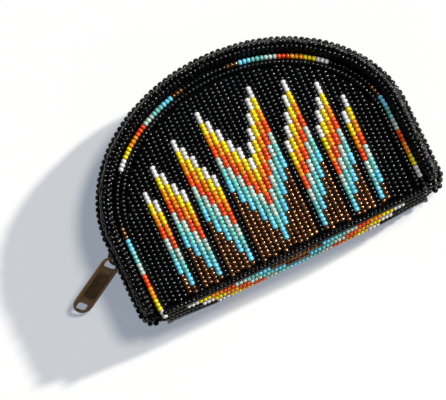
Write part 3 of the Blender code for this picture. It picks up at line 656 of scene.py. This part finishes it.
def panel_places(form, beads):
    """Places and colours of a panel's beads: upright strings inside the border row, which follows the
    outline, and a row along the crease. Also returns the places and directions of these two rows."""
    string, down = np.meshgrid(np.arange(-OUTER_STRING, OUTER_STRING + 1),
                               np.arange(-MOST_BEADS, MOST_BEADS + 1), indexing="ij")
    string, down = string.ravel(), down.ravel()
    top, pitch = string_heights(string, beads)
    y = top - pitch * down
    known, off, lean = np.array(STRING_PLACES).T
    shift = np.interp(string, known, off) + np.interp(string, known, lean) * y * 100
    flat = np.column_stack([string * beads.string_pitch + shift * MM, y])
    keep = (y > STRING_FOOT) & inside(form, flat)
    keep[keep] = inset_of(form, flat[keep]) > form.border_inset + BORDER_GAP
    flamed = np.isin(string, list(FLAMES)) & (down >= 0)
    colour = np.where(flamed, flame_colours(down), BLACK)[keep]
    border, along, _ = spaced(form, form.border_inset, BORDER_FOOT, beads.row_pitch)
    xs = np.arange(-CREASE_ROW_HALF, CREASE_ROW_HALF + 0.0001, beads.row_pitch)
    crease = np.column_stack([xs, np.full(len(xs), CREASE_ROW_HEIGHT)])
    along = np.vstack([along, np.broadcast_to((1.0, 0.0), crease.shape)])
    return flat[keep], colour, np.vstack([border, crease]), along


def panel(face):
    """Black beads, flames and ground cloth of one panel."""
    form, beads = settings("form", "beads")
    flat, colour, border, along = panel_places(form, beads)
    points = np.vstack([flat, border])
    threads = np.vstack([np.broadcast_to((0.0, 1.0), flat.shape), along])
    colour = np.concatenate([colour, np.full(len(border), BLACK)])
    slope = dome_slope(form, points)
    level = form.panel_face - beads.across / 2 + dome(form, points)
    level[len(flat):] -= np.where(border[:, 1] < BORDER_FOOT, CREASE_ROW_SINK, 0.0)
    rise = (threads * slope).sum(axis=1)
    threads = unit(np.column_stack([threads, face * rise]))
    outs = unit(np.column_stack([-slope, np.ones(len(points))])) * (1, 1, face)
    centres = in_frame(points, level, face)
    dark = colour == BLACK
    for name, picked, slot, number in (("panel_beads", dark, "black_beads", 1),
                                       ("flame_beads", ~dark, "coloured_beads", 2)):
        made = string_beads(f"{SIDE[face]}_{name}", PLAIN_BEAD, centres[picked], threads[picked],
                            outs[picked], (beads.along, beads.across), colour[picked], number)
        across_fold(made, face)
    flat, _, _ = half_round(form, form.accent_inset - GROUND_MARGIN, GROUND_FOOT)
    level = form.panel_face - GROUND_DEPTH + dome(form, flat)
    made = cloth(f"{SIDE[face]}_ground_cloth", flat, level, face, "ground_cloth", GROUND_THICKNESS, face < 0,
                 f"{SIDE[face]}_panel_beads")
    across_fold(made, face)


def half_round(form, inset, low):
    """Half-round grid of purse points inside the outline at an inset, up from a height, and its (u, rise).

    A point is x = u * X(y), where X is the half width of the outline at that inset and height, and the
    rows lie closer towards the crown, by a sine.
    """
    line = outline(form, inset)[0]
    half = line[: len(line) // 2 + 1]
    rise = np.linspace(0, 1, GRID_POINTS)
    heights = low + (half[-1, 1] - low - GRID_STOP) * np.sin(rise * math.pi / 2)
    reach = np.interp(heights, half[:, 1], -half[:, 0])
    u, rise = np.meshgrid(np.linspace(-1, 1, GRID_POINTS), rise)
    return np.stack([u * reach[:, None], np.broadcast_to(heights[:, None], u.shape)], axis=-1), u, rise


def cloth(name, flat, level, face, finish, thickness, flip, rests_on):
    """A sheet of cloth through a grid of purse points and their levels, with a UV map that runs along the
    grid's lengths, made as thick as its thickness.
    """
    points = in_frame(flat, level, face)
    rows, columns = points.shape[:2]
    made = new_mesh(name, points, grid_faces(rows, columns, flip=flip), [bpy.data.materials[finish]])
    down = np.linalg.norm(np.diff(points, axis=0), axis=-1)
    over = np.linalg.norm(np.diff(points, axis=1), axis=-1)
    v = np.vstack([np.zeros(columns), np.cumsum(down, axis=0)])
    u = np.column_stack([np.zeros(rows), np.cumsum(over, axis=1)])
    uv_from_grid(made, u, v)
    wall = made.modifiers.new("cloth", "SOLIDIFY")
    wall.thickness = thickness
    wall.offset = 0
    return made


ACCENT_DASH = (WHITE, YELLOW, ORANGE, RED, GREY_GREEN, TURQUOISE, LIGHT_BLUE, BROWN)
ACCENT_LOW = -0.0024  # where the accent row ends, below the crease
ACCENT_PITCH = 0.001545
ACCENT_BEAD = (0.00150, 0.00198)
ACCENT_DEPTH = 0.00085  # from the face of a panel to the middle of the accent row
ACCENT_LEAN = 0.35  # how far its beads face inwards
SIDE_GAP = 13  # black beads between the two dashes of a side
CROWN_GAP = 11  # and between the dashes near the crown


def accent_colours(count):
    """Colours along the accent row, from its left end: two dashes a side, the lower one from white at the
    crease to brown, the upper one from white to brown near the crown, with black between."""
    up = [colour for colour in ACCENT_DASH for _ in range(BAND_BEADS)]
    side, crown = [BLACK] * SIDE_GAP, [BLACK] * CROWN_GAP
    row = up[1:] + side + up + crown + up[::-1] + crown + up[::-1]
    return np.array((row + [BLACK] * count)[:count])


def accent_row(face):
    """Row of coloured dashes in the groove between the panel and the rim."""
    form, = settings("form")
    flat, along, inward = spaced(form, form.accent_inset, ACCENT_LOW, ACCENT_PITCH)
    centres = in_frame(flat, form.panel_face - ACCENT_DEPTH, face)
    threads = np.column_stack([along, np.zeros(len(along))])
    outs = unit(np.column_stack([inward * ACCENT_LEAN, np.full(len(along), float(face))]))
    made = string_beads(f"{SIDE[face]}_accent_beads", PLAIN_BEAD, centres, threads, outs, ACCENT_BEAD,
                        accent_colours(len(flat)), 3)
    across_fold(made, face)


RIM_ROW = 0.00192  # from row to row round the rim
RIM_BEAD = (0.00160, 0.00200)
LOOSE_ROWS = 3
LOOSE = (0.00184, 0.42, 0.00016)  # pitch, lean and stray of the beads in the loose rows
FIRM = (0.00170, 0.16, 0.00007)  # and in the firm ones
ROW_MARGINS = (0.0003, 0.0001)  # from the ends of the section to the first row and the last one
TAIL_CLOSED = (0.30, 0.62)  # even and odd rows end where the tail's section is this share of the whole
TIP_LIFT = 1.6  # a line's tip stands this many thicknesses above the end of the rim's round
TIP_RISE = 0.0016  # how far the foot of the section rises at the tip
TIP_LEAN = 0.4  # how far the beads at the tip face up
CORE_INSET = 0.0017  # from the face of the rim to its core
CORE_LENGTHS = 201
CORE_SIDES = 13


def rim_section(form, turn, thin):
    """Insets and levels round the rim's section: inset = middle - half cos t, level = base + rise sin t,
    both drawn in by the thickness that lies outside."""
    inset = form.rim_middle - (form.rim_half - thin) * np.cos(turn)
    level = form.rim_base + (form.rim_crest - form.rim_base - thin) * np.sin(turn)
    return inset, level


def rim_line(form, turn, thin, face):
    """One line along the rim at a turn of its section, and the way out of the rim along it.

    Above the tails it is the outline at the section's inset and level. Down a tail, where d goes from 1
    to 0 over the rim's half width, the section shrinks about its middle by sqrt(1 - (1 - d)^2), which
    closes the tail with a round end.
    """
    inset, level = rim_section(form, turn, thin)
    line, _, inward = outline(form, float(inset))
    tip = form.end_height - form.rim_half + thin * TIP_LIFT
    d = np.clip((line[:, 1] - tip) / (form.rim_half - thin), 0, 1)
    share = np.sqrt(1 - (1 - d) ** 2)
    keep = line[:, 1] >= tip
    flat = line + inward * ((form.rim_middle - inset) * (1 - share))[:, None]
    foot = form.rim_base + TIP_RISE * (1 - share)
    places = in_frame(flat, foot + (level - form.rim_base) * share, face)
    out = np.column_stack([-inward * math.cos(turn), np.full(len(line), face * math.sin(turn))])
    out = out * share[:, None] + np.outer(1 - d, (0.0, -1.0, face * TIP_LEAN))
    return places[keep], unit(out[keep]), share[keep]


def rim(face):
    """Raised rim: rows of black beads round a cord of cloth, from the edge row over to the accent row.

    The rows near the edge are the loose ones, whose beads lean every way and show their holes.
    """
    form, beads = settings("form", "beads")
    chance = np.random.default_rng(beads.seed + 20 + face)
    turn = np.linspace(0, math.pi, 400)
    inset, level = rim_section(form, turn, beads.across / 2)
    arc = run(np.column_stack([inset, level]))
    rows = int(round(arc[-1] / RIM_ROW)) + 1
    picks = np.interp(np.linspace(ROW_MARGINS[0], arc[-1] - ROW_MARGINS[1], rows), arc, turn)
    loose, firm = [], []
    for row, at in enumerate(picks):
        line, out, share = rim_line(form, at, beads.across / 2, face)
        pitch, lean, stray = LOOSE if row < LOOSE_ROWS else FIRM
        centres, threads, outs, along = strung(line, np.gradient(line, axis=0), out, pitch, (row % 2) * 0.5)
        close = np.interp(along, np.linspace(0, 1, len(share)), share)
        keep = close > TAIL_CLOSED[row % 2]
        threads = unit(threads + chance.normal(0, lean, threads.shape))
        centres = centres + chance.normal(0, stray, centres.shape)
        (loose if row < LOOSE_ROWS else firm).append(np.hstack([centres, threads, outs])[keep])
    for name, picked, shape, number in (("rim_beads", firm, PLAIN_BEAD, 4),
                                        ("rim_outer_beads", loose, OPEN_BEAD, 7)):
        centres, threads, outs = np.split(np.vstack(picked), 3, axis=1)
        made = string_beads(f"{SIDE[face]}_{name}", shape, centres, threads, outs, RIM_BEAD, BLACK, number)
        across_fold(made, face)
    rim_core(form, face)


def rim_core(form, face):
    """Cord of cloth inside the rim: the rim's section, thinner by the beads, carried along the outline."""
    lines = [evened(rim_line(form, at, CORE_INSET, face)[0], CORE_LENGTHS)
             for at in np.linspace(0, math.pi, CORE_SIDES)]
    points = np.stack(lines, axis=1)
    faces = grid_faces(CORE_LENGTHS, CORE_SIDES, wrap=True, flip=face > 0)
    caps = [list(range(CORE_SIDES)), list(range((CORE_LENGTHS - 1) * CORE_SIDES, CORE_LENGTHS * CORE_SIDES))]
    caps[0 if face < 0 else 1].reverse()
    made = new_mesh(f"{SIDE[face]}_rim_core", points, faces + caps, [bpy.data.materials["ground_cloth"]])
    uv_from_grid(made, points[..., 0], points[..., 1])
    across_fold(made, face)


EDGE_BEAD = (0.00182, 0.00230)
EDGE_TURN = math.radians(150)  # how far the edge row goes round the end of a rim
EDGE_LIFT = 0.0004  # it lies this much further from the mid-plane at the ends
EDGE_FACING = 0.8  # slant of its beads, which face out and down, with their holes up and out
EDGE_LEAN = 0.30  # how far the beads lean by chance


def edge_line(form, face):
    """Line of the edge row: the outline at its inset, then round the rim's end on a circle about the
    rim's middle, from the outer side by five sixths of a half turn towards the strip."""
    line, _, inward = outline(form, form.edge_inset)
    keep = line[:, 1] >= form.end_height
    line, inward = line[keep], inward[keep]
    radius = form.rim_middle - form.edge_inset
    turn = np.linspace(0, EDGE_TURN, 80)[1:]
    middle = line[-1] - (radius, 0)
    ray = np.column_stack([np.cos(turn), -np.sin(turn)])
    right = middle + radius * ray
    line = np.vstack([(right * (-1, 1))[::-1], line, right])
    outward = np.vstack([(ray * (-1, 1))[::-1], -inward, ray])
    level = form.edge_level + EDGE_LIFT * np.clip((form.end_height - line[:, 1]) / radius, 0, 1)
    return in_frame(line, level, face), outward


def edge_row(face):
    """Outermost row of round beads, their holes turned half up."""
    form, beads = settings("form", "beads")
    line, outward = edge_line(form, face)
    out = np.column_stack([outward, np.full(len(line), -face * EDGE_FACING)])
    centres, _, outs, _ = strung(line, np.gradient(line, axis=0), out, beads.edge_pitch)
    flat_out = unit(outs[:, :2])
    threads = unit(np.column_stack([flat_out * EDGE_FACING, np.full(len(flat_out), float(face))]))
    chance = np.random.default_rng(beads.seed + 40 + face)
    threads = unit(threads + chance.normal(0, EDGE_LEAN, threads.shape))
    made = string_beads(f"{SIDE[face]}_edge_row", OPEN_BEAD, centres, threads, outs, EDGE_BEAD, BLACK, 5)
    across_fold(made, face)


# Depth of the strip's rows below the crease, in millimetres, from the back panel to the front one
STRIP_ROWS = (0.5, 1.2, 1.65, 2.0, 2.3, 2.6, 2.9, 3.14, 2.39, 1.44, 0.45)
STRIP_ROW_PITCH = 0.0020
STRIP_PITCH = 0.00153  # from bead to bead along a row
STRIP_BEAD = 0.00149
ARROW_REACH = (14.0, 17.0, 20.5, 23.5, 27.0, 14.0)  # beads from the middle to an arrowhead's tip, by row
STRIP_MOST = 36  # more beads than fit on half a row
STRIP_END = 0.0006  # the last bead stays this far inside the strip's end
STRIP_EVEN = 0.030  # to this far from the middle the strip has its full depth
STRIP_TAPER = 0.020  # and over this length it gets less deep
STRIP_DRAW_IN = 0.32  # by this share
STRIP_GROUND_HALF = 0.0092
STRIP_GROUND_SHORT = 0.0016
STRIP_GROUND_DEPTH = 0.0006  # from the middle of the beads to the ground cloth


def strip_depth(level, x):
    """Depth of the strip below the crease: its rows' depths, joined by straight lines, and towards the
    strip's ends a third less by a smooth step."""
    full = np.interp(level / STRIP_ROW_PITCH, np.arange(-5, 6), STRIP_ROWS) * MM
    ends = np.clip((np.abs(x) - STRIP_EVEN) / STRIP_TAPER, 0, 1)
    return full * (1 - STRIP_DRAW_IN * ends**2 * (3 - 2 * ends))


def gusset():
    """Eleven rows of beads between the two panels, with arrowheads that point at the middle."""
    form, beads = settings("form", "beads")
    row, bead = np.meshgrid(np.arange(-5, 6), np.arange(-STRIP_MOST, STRIP_MOST + 1), indexing="ij")
    row, bead = row.ravel(), bead.ravel()
    place = bead + 0.5 * (np.abs(row) % 2)
    keep = np.abs(place * STRIP_PITCH) < form.gusset_half - STRIP_END
    row, place = row[keep], place[keep]
    level = row * STRIP_ROW_PITCH
    down = np.floor(np.array(ARROW_REACH)[np.abs(row)] - np.abs(place)).astype(int)
    colour = np.where((down < 0) | (np.abs(row) == 5), BLACK, flame_colours(down))
    x = place * STRIP_PITCH
    centres = in_frame(np.column_stack([x, -strip_depth(level, x)]), level, 1)
    step = 0.0006
    slope = -(strip_depth(level + step, x) - strip_depth(level - step, x)) / (2 * step)
    outs = unit(np.column_stack([np.zeros(len(level)), -np.ones(len(level)), slope]))
    threads = np.broadcast_to((1.0, 0.0, 0.0), centres.shape)
    made = string_beads("bottom_strip_beads", PLAIN_BEAD, centres, threads, outs, (STRIP_BEAD, beads.across),
                        colour, 6)
    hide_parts("bottom_gusset")
    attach(made, "pouch")
    x, level = strip_grid(form, STRIP_GROUND_HALF, STRIP_GROUND_SHORT)
    flat = np.stack([x, STRIP_GROUND_DEPTH - strip_depth(level, x)], axis=-1)
    ground = cloth("bottom_strip_ground", flat, level, 1, "ground_cloth", GROUND_THICKNESS, False,
                   "bottom_strip_beads")
    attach(ground, "pouch")


def strip_grid(form, half, short):
    """Grid along the bottom strip and across it, half to either side, and shorter by a length."""
    reach = form.gusset_half - short
    return np.meshgrid(np.linspace(-reach, reach, 41), np.linspace(-half, half, 25), indexing="ij")


# Lining and zip

LINING_FOOT = 0.0010  # from the crease up to the lining's lower edge
LINING_SHORT = 0.0010  # the strip's lining ends this far inside the strip
LINING_RISE = 0.0012  # and lies this far above its share of the strip's depth
LINING_SHARE = 0.75


def lining(face):
    """Plain lining behind a panel: the lining's level less soft folds, which die out at its seams.

    The folds are 0.3 mm * sin(310 x + 2.2 sin(95 y)) + 0.15 mm * sin(240 y + 90 x), times
    (1 - u^2)(1 - rise^4).
    """
    form, sizes = settings("form", "zip")
    flat, u, rise = half_round(form, sizes.lining_inset, LINING_FOOT)
    x, y = flat[..., 0], flat[..., 1]
    folds = 0.0003 * np.sin(310 * x + 2.2 * np.sin(95 * y)) + 0.00015 * np.sin(240 * y + 90 * x)
    level = sizes.lining_level + folds * (1 - u**2) * (1 - rise**4)
    made = cloth(f"{SIDE[face]}_lining_cloth", flat, level, face, "lining_cloth", sizes.cloth, face > 0,
                 f"{SIDE[face]}_ground_cloth")
    across_fold(made, face)


def bottom_lining():
    """Lining of the bottom strip: three quarters of the strip's depth, with one low fold along it."""
    form, sizes = settings("form", "zip")
    x, level = strip_grid(form, sizes.lining_level, LINING_SHORT)
    fold = 0.00015 * np.sin(140 * x + 500 * level)
    y = LINING_RISE - LINING_SHARE * strip_depth(level, x) + fold
    made = cloth("bottom_lining_cloth", np.stack([x, y], axis=-1), level, 1, "lining_cloth", sizes.cloth,
                 True, "bottom_strip_ground")
    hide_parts("gusset_lining")
    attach(made, "pouch")


def on_zip(sizes, angles):
    """Places on the zip's circle, and the ways out from its middle; an angle of 0 is at the right."""
    out = np.column_stack([np.cos(angles), np.sin(angles)])
    return sizes.radius * out + (0, sizes.centre), out


def seam_reach(form, sizes, angles):
    """How far outwards of the zip's circle the seam lies, along rays from the circle's middle."""
    seam = outline(form, sizes.seam_inset)[0] - (0, sizes.centre)
    rays = np.arctan2(seam[:, 1], seam[:, 0])
    rays = np.where(rays < -math.pi / 2, rays + 2 * math.pi, rays)
    order = np.argsort(rays)
    return np.interp(angles, rays[order], np.hypot(*seam.T)[order]) - sizes.radius


TAIL_DRAW_IN = 0.6  # a tape's tail loses this share of its reach


def tape_edge(form, sizes):
    """Chain edge of a tape from its right tail to its left one, with the ways out and the seam's reach.

    The tail goes straight down from the chain's end and then in by a quarter turn to the bottom strip,
    where it is drawn in to two fifths of its reach.
    """
    angles = np.linspace(sizes.end_angle, math.pi - sizes.end_angle, 181)
    chain, out = on_zip(sizes, angles)
    reach = seam_reach(form, sizes, angles)
    side, foot = chain[0]
    turn = np.linspace(math.pi / 2, 0, 10)
    ray = np.column_stack([np.cos(turn), -np.sin(turn)])
    bend = ray * sizes.tail_round + (side - sizes.tail_round, sizes.tail_round)
    straight = np.linspace(sizes.tail_round, foot, 14)[1:-1]
    tail = np.vstack([bend, np.column_stack([np.full(len(straight), side), straight])])
    tail_out = np.vstack([ray, np.broadcast_to((1.0, 0.0), (len(straight), 2))])
    tail_reach = reach[0] * np.concatenate([1 - TAIL_DRAW_IN * turn / (math.pi / 2), np.ones(len(straight))])
    flip = np.array((-1, 1))
    return (np.vstack([tail, chain, (tail * flip)[::-1]]),
            np.vstack([tail_out, out, (tail_out * flip)[::-1]]),
            np.concatenate([tail_reach, reach, tail_reach[::-1]]))


TAPE_GAP = 0.0003  # from the mid-plane to a tape below the chain
TAPE_LAP = 0.0004  # a tape reaches this far under the roots of the teeth


def tape(face):
    """Woven tape of one side: level up from the teeth, then out to the seam by a quarter ellipse,
    reach * (1 - cos a) outwards and (seam - turn) * sin a up. Below the chain it meets the other tape."""
    form, sizes = settings("form", "zip")
    edge, out, reach = tape_edge(form, sizes)
    foot = on_zip(sizes, np.array([sizes.end_angle]))[0][0, 1]
    inner = np.interp(edge[:, 1], [foot - sizes.stop_length, foot], [TAPE_GAP, sizes.tooth_root - TAPE_LAP])
    up = np.linspace(0, 1, 5)[:-1]
    a = np.linspace(0, math.pi / 2, 9)
    outwards = np.concatenate([np.zeros(len(up)), 1 - np.cos(a)])
    flat = edge[:, None, :] + outwards[None, :, None] * (reach[:, None] * out)[:, None, :]
    level = np.hstack([inner[:, None] + (sizes.tape_turn - inner[:, None]) * up,
                       np.broadcast_to(sizes.tape_turn + (sizes.tape_seam - sizes.tape_turn) * np.sin(a),
                                       (len(edge), len(a)))])
    made = cloth(f"{SIDE[face]}_tape_cloth", flat, level, face, "tape_weave", sizes.cloth, face > 0,
                 f"{SIDE[face]}_rim_core")
    across_fold(made, face)


# A tooth from its root to its tip: share of the way, of its length and of its thickness
TOOTH_SHARES = ((-0.06, 0.80, 0.80), (0.0, 1.0, 1.0), (0.34, 0.92, 1.0), (0.50, 0.74, 0.84),
                (0.66, 0.96, 0.94), (0.90, 0.90, 0.84), (1.0, 0.55, 0.55))
TOOTH_SIDES = 12


def teeth(face):
    """Teeth of one side, each a stack of rounded rectangles from its root on the tape to its tip, waisted
    behind a round head; a ring's points are (sign cos |cos|^0.5, sign sin |sin|^0.5)."""
    sizes, = settings("zip")
    first = sizes.end_angle + sizes.stop_length / sizes.radius
    count = int((math.pi - 2 * first) * sizes.radius / sizes.tooth_pitch)
    angles = math.pi / 2 + (np.arange(count) - (count - 1) / 2) * sizes.tooth_pitch / sizes.radius
    middle, out = on_zip(sizes, angles)
    along = np.column_stack([-out[:, 1], out[:, 0]])
    turn = np.arange(TOOTH_SIDES) * 2 * math.pi / TOOTH_SIDES
    way = np.column_stack([np.cos(turn), np.sin(turn)])
    ring = np.sign(way) * np.abs(way) ** 0.5 / 2
    shares = np.array(TOOTH_SHARES)
    lengths = (sizes.tooth_length * shares[:, 1, None] * ring[:, 0])[None, ..., None]
    widths = (sizes.tooth_thickness * shares[:, 2, None] * ring[:, 1])[None, ..., None]
    flat = middle[:, None, None, :] + lengths * along[:, None, None, :] + widths * out[:, None, None, :]
    level = sizes.tooth_root + (sizes.tooth_tip - sizes.tooth_root) * shares[:, 0]
    points = in_frame(flat, np.broadcast_to(level[None, :, None], flat.shape[:3]), face)
    rings = len(shares)
    step = rings * TOOTH_SIDES
    ends = [list(range(TOOTH_SIDES))[::-1], list(range(step - TOOTH_SIDES, step))]
    one = grid_faces(rings, TOOTH_SIDES, wrap=True) + ends
    faces = [[k + tooth * step for k in corners][::-face] for tooth in range(count) for corners in one]
    made = new_mesh(f"{SIDE[face]}_teeth", points, faces, [bpy.data.materials["antique_brass"]])
    across_fold(made, face)


class PURSE_OT_panels(bpy.types.Operator):
    """String the beads of the front and back panels, with their flames"""

    bl_idname = "purse.panels"
    bl_label = "Panels"

    def execute(self, context):
        panel(1)
        panel(-1)
        return {"FINISHED"}


class PURSE_OT_accent_rows(bpy.types.Operator):
    """String the coloured dashes round both panels"""

    bl_idname = "purse.accent_rows"
    bl_label = "Accent Rows"

    def execute(self, context):
        accent_row(1)
        accent_row(-1)
        return {"FINISHED"}


class PURSE_OT_rims(bpy.types.Operator):
    """Wrap both raised rims with black beads"""

    bl_idname = "purse.rims"
    bl_label = "Rims"

    def execute(self, context):
        rim(1)
        rim(-1)
        return {"FINISHED"}


class PURSE_OT_edge_rows(bpy.types.Operator):
    """Sew the outermost rows of beads along both edges"""

    bl_idname = "purse.edge_rows"
    bl_label = "Edge Rows"

    def execute(self, context):
        edge_row(1)
        edge_row(-1)
        return {"FINISHED"}


class PURSE_OT_bottom_strip(bpy.types.Operator):
    """String the strip between the two panels"""

    bl_idname = "purse.bottom_strip"
    bl_label = "Bottom Strip"

    def execute(self, context):
        gusset()
        return {"FINISHED"}


class PURSE_OT_lining(bpy.types.Operator):
    """Line the purse with plain cloth"""

    bl_idname = "purse.lining"
    bl_label = "Lining"

    def execute(self, context):
        lining(1)
        lining(-1)
        bottom_lining()
        return {"FINISHED"}


class PURSE_OT_zip(bpy.types.Operator):
    """Sew in the two tapes of the zip with their teeth"""

    bl_idname = "purse.zip"
    bl_label = "Zip"

    def execute(self, context):
        for face in (1, -1):
            tape(face)
            teeth(face)
        return {"FINISHED"}


METAL = {
    "front_top_stop": "antique_brass", "back_top_stop": "antique_brass", "bottom_stop": "antique_brass",
    "slider_body": "aged_bronze_finish", "puller_tab": "aged_bronze_finish",
}
WORN_EDGE = 0.00012  # width of the bevel on the metal's edges


class PURSE_OT_metal(bpy.types.Operator):
    """Finish the stops, the slider and the puller"""

    bl_idname = "purse.metal"
    bl_label = "Zip Metal"

    def execute(self, context):
        finishes()
        for name, finish in METAL.items():
            made = frame["nodes"][name]
            made.data.materials.clear()
            made.data.materials.append(bpy.data.materials[finish])
            bevel = made.modifiers.new("worn_edge", "BEVEL")
            bevel.width = WORN_EDGE
            bevel.segments = 2
            bevel.limit_method = "ANGLE"
        return {"FINISHED"}


# Stage

SENSOR = 36.0
AIM_HEIGHT = 0.035  # what the camera's aim is measured from, above the crease
BOX_ABOVE_KEY = math.radians(33)
LAMP_COLOUR = (1.0, 0.985, 0.96)
LIFT_COLOUR = (0.74, 0.84, 1.0, 1)  # of the light by which the table is lifted
TABLE_HALF = 1.5
TABLE_DROP = 0.0001  # the table lies this far under the purse


def picture_axes(stage):
    """Right, up and towards-the-camera vectors of the picture: the purse's own axes, tipped by the
    elevation and turned by the roll."""
    across = Vector((1, 0, 0))
    up = Vector((0, math.sin(stage.elevation), math.cos(stage.elevation)))
    towards = Vector((0, -math.cos(stage.elevation), math.sin(stage.elevation)))
    right = math.cos(stage.roll) * across - math.sin(stage.roll) * up
    top = math.sin(stage.roll) * across + math.cos(stage.roll) * up
    return right, top, towards


def aim_camera(scene, stage):
    """Camera that sees the purse as the picture does."""
    right, top, towards = picture_axes(stage)
    aim = Vector((MIDDLE_X, CREASE_Y + AIM_HEIGHT, MID_Z)) + stage.aim_across * right + stage.aim_up * top
    lens = bpy.data.cameras.new("picture_camera")
    lens.sensor_fit = "HORIZONTAL"
    lens.sensor_width = SENSOR
    lens.lens = SENSOR * stage.distance / stage.picture_width
    lens.clip_start = 0.01
    camera = bpy.data.objects.new("picture_camera", lens)
    turned = Matrix((right, top, towards)).transposed().to_4x4()
    camera.matrix_world = Matrix.Translation(aim + stage.distance * towards) @ turned
    scene.collection.objects.link(camera)
    scene.camera = camera


def light(scene, stage):
    """Key lamp low at the right, a broad soft one above it, and a faint sky all round."""
    for name, strength, height, width in (
        ("key_lamp", stage.key_strength, stage.key_elevation, 3.5),
        ("soft_box", stage.box_strength, stage.key_elevation + BOX_ABOVE_KEY, 12.0),
    ):
        sun = bpy.data.lights.new(name, "SUN")
        sun.energy = strength
        sun.angle = math.radians(width)
        sun.color = LAMP_COLOUR
        lamp = bpy.data.objects.new(name, sun)
        source = Vector((
            math.cos(height) * math.cos(stage.key_azimuth),
            math.cos(height) * math.sin(stage.key_azimuth),
            math.sin(height),
        ))
        lamp.matrix_world = source.to_track_quat("Z", "Y").to_matrix().to_4x4()
        scene.collection.objects.link(lamp)
    scene.world = bpy.data.worlds.new("soft_fill")
    scene.world.use_nodes = True
    fill = scene.world.node_tree.nodes["Background"]
    fill.inputs["Strength"].default_value = 1.0
    fill.inputs["Color"].default_value = (*stage.sky, 1)


def lay_table(scene, stage):
    """Pale table, lifted towards white where the camera sees it, and less so where gloss mirrors it."""
    top = bpy.data.meshes.new("table_top")
    corners = TABLE_HALF * np.array([(-1, -1, 0), (1, -1, 0), (1, 1, 0), (-1, 1, 0)])
    top.from_pydata((corners - (0, 0, TABLE_DROP)).tolist(), [], [(0, 1, 2, 3)])
    floor = bpy.data.objects.new("table_top", top)
    scene.collection.objects.link(floor)
    card = Nodes("pale_card")
    tone = card.ramp(card.noise(6.0), shade(stage.table, 0.985), shade(stage.table, 1.0), 0.3, 0.7)
    ray = card.add("ShaderNodeLightPath").outputs
    mirrored = card.math("MULTIPLY", ray["Is Glossy Ray"], stage.table_mirrored)
    shown = card.math("MAXIMUM", ray["Is Camera Ray"], mirrored)
    card.set(Base_Color=tone, Roughness=card.spread(card.noise(40.0), 0.85, 0.95), Specular_IOR_Level=0.1,
             Emission_Color=LIFT_COLOUR, Emission_Strength=card.math("MULTIPLY", shown, stage.table_lift))
    top.materials.append(card.made)


class PURSE_OT_stage(bpy.types.Operator):
    """Lay the purse on a pale table under soft light and aim the camera"""

    bl_idname = "purse.stage"
    bl_label = "Stage"

    def execute(self, context):
        scene = context.scene
        stage, = settings("stage")
        aim_camera(scene, stage)
        light(scene, stage)
        lay_table(scene, stage)
        scene.view_settings.view_transform = "Standard"
        return {"FINISHED"}


PIECES = (PURSE_OT_panels, PURSE_OT_accent_rows, PURSE_OT_rims, PURSE_OT_edge_rows, PURSE_OT_bottom_strip,
          PURSE_OT_lining, PURSE_OT_zip, PURSE_OT_metal, PURSE_OT_stage)


class VIEW3D_PT_coin_purse(bpy.types.Panel):
    """The purse's pieces, in the order in which they are made"""

    bl_label = "Coin Purse"
    bl_space_type = "VIEW_3D"
    bl_region_type = "UI"
    bl_category = "Coin Purse"

    def draw(self, context):
        for piece in PIECES:
            self.layout.operator(piece.bl_idname)


SETTINGS = {
    "purse_form": PurseForm, "purse_beads": BeadSizes, "purse_zip": ZipSizes, "purse_colours": PurseColours,
    "purse_stage": StageSettings,
}
CLASSES = (*SETTINGS.values(), *PIECES, VIEW3D_PT_coin_purse)


def register():
    for kind in CLASSES:
        bpy.utils.register_class(kind)
    for name, kind in SETTINGS.items():
        setattr(bpy.types.Scene, name, PointerProperty(type=kind))


def unregister():
    for name in reversed(SETTINGS):
        delattr(bpy.types.Scene, name)
    for kind in reversed(CLASSES):
        bpy.utils.unregister_class(kind)


def main():
    register()
    for piece in PIECES:
        group, name = piece.bl_idname.split(".")
        getattr(getattr(bpy.ops, group), name)()


if __name__ == "__main__":
    main()
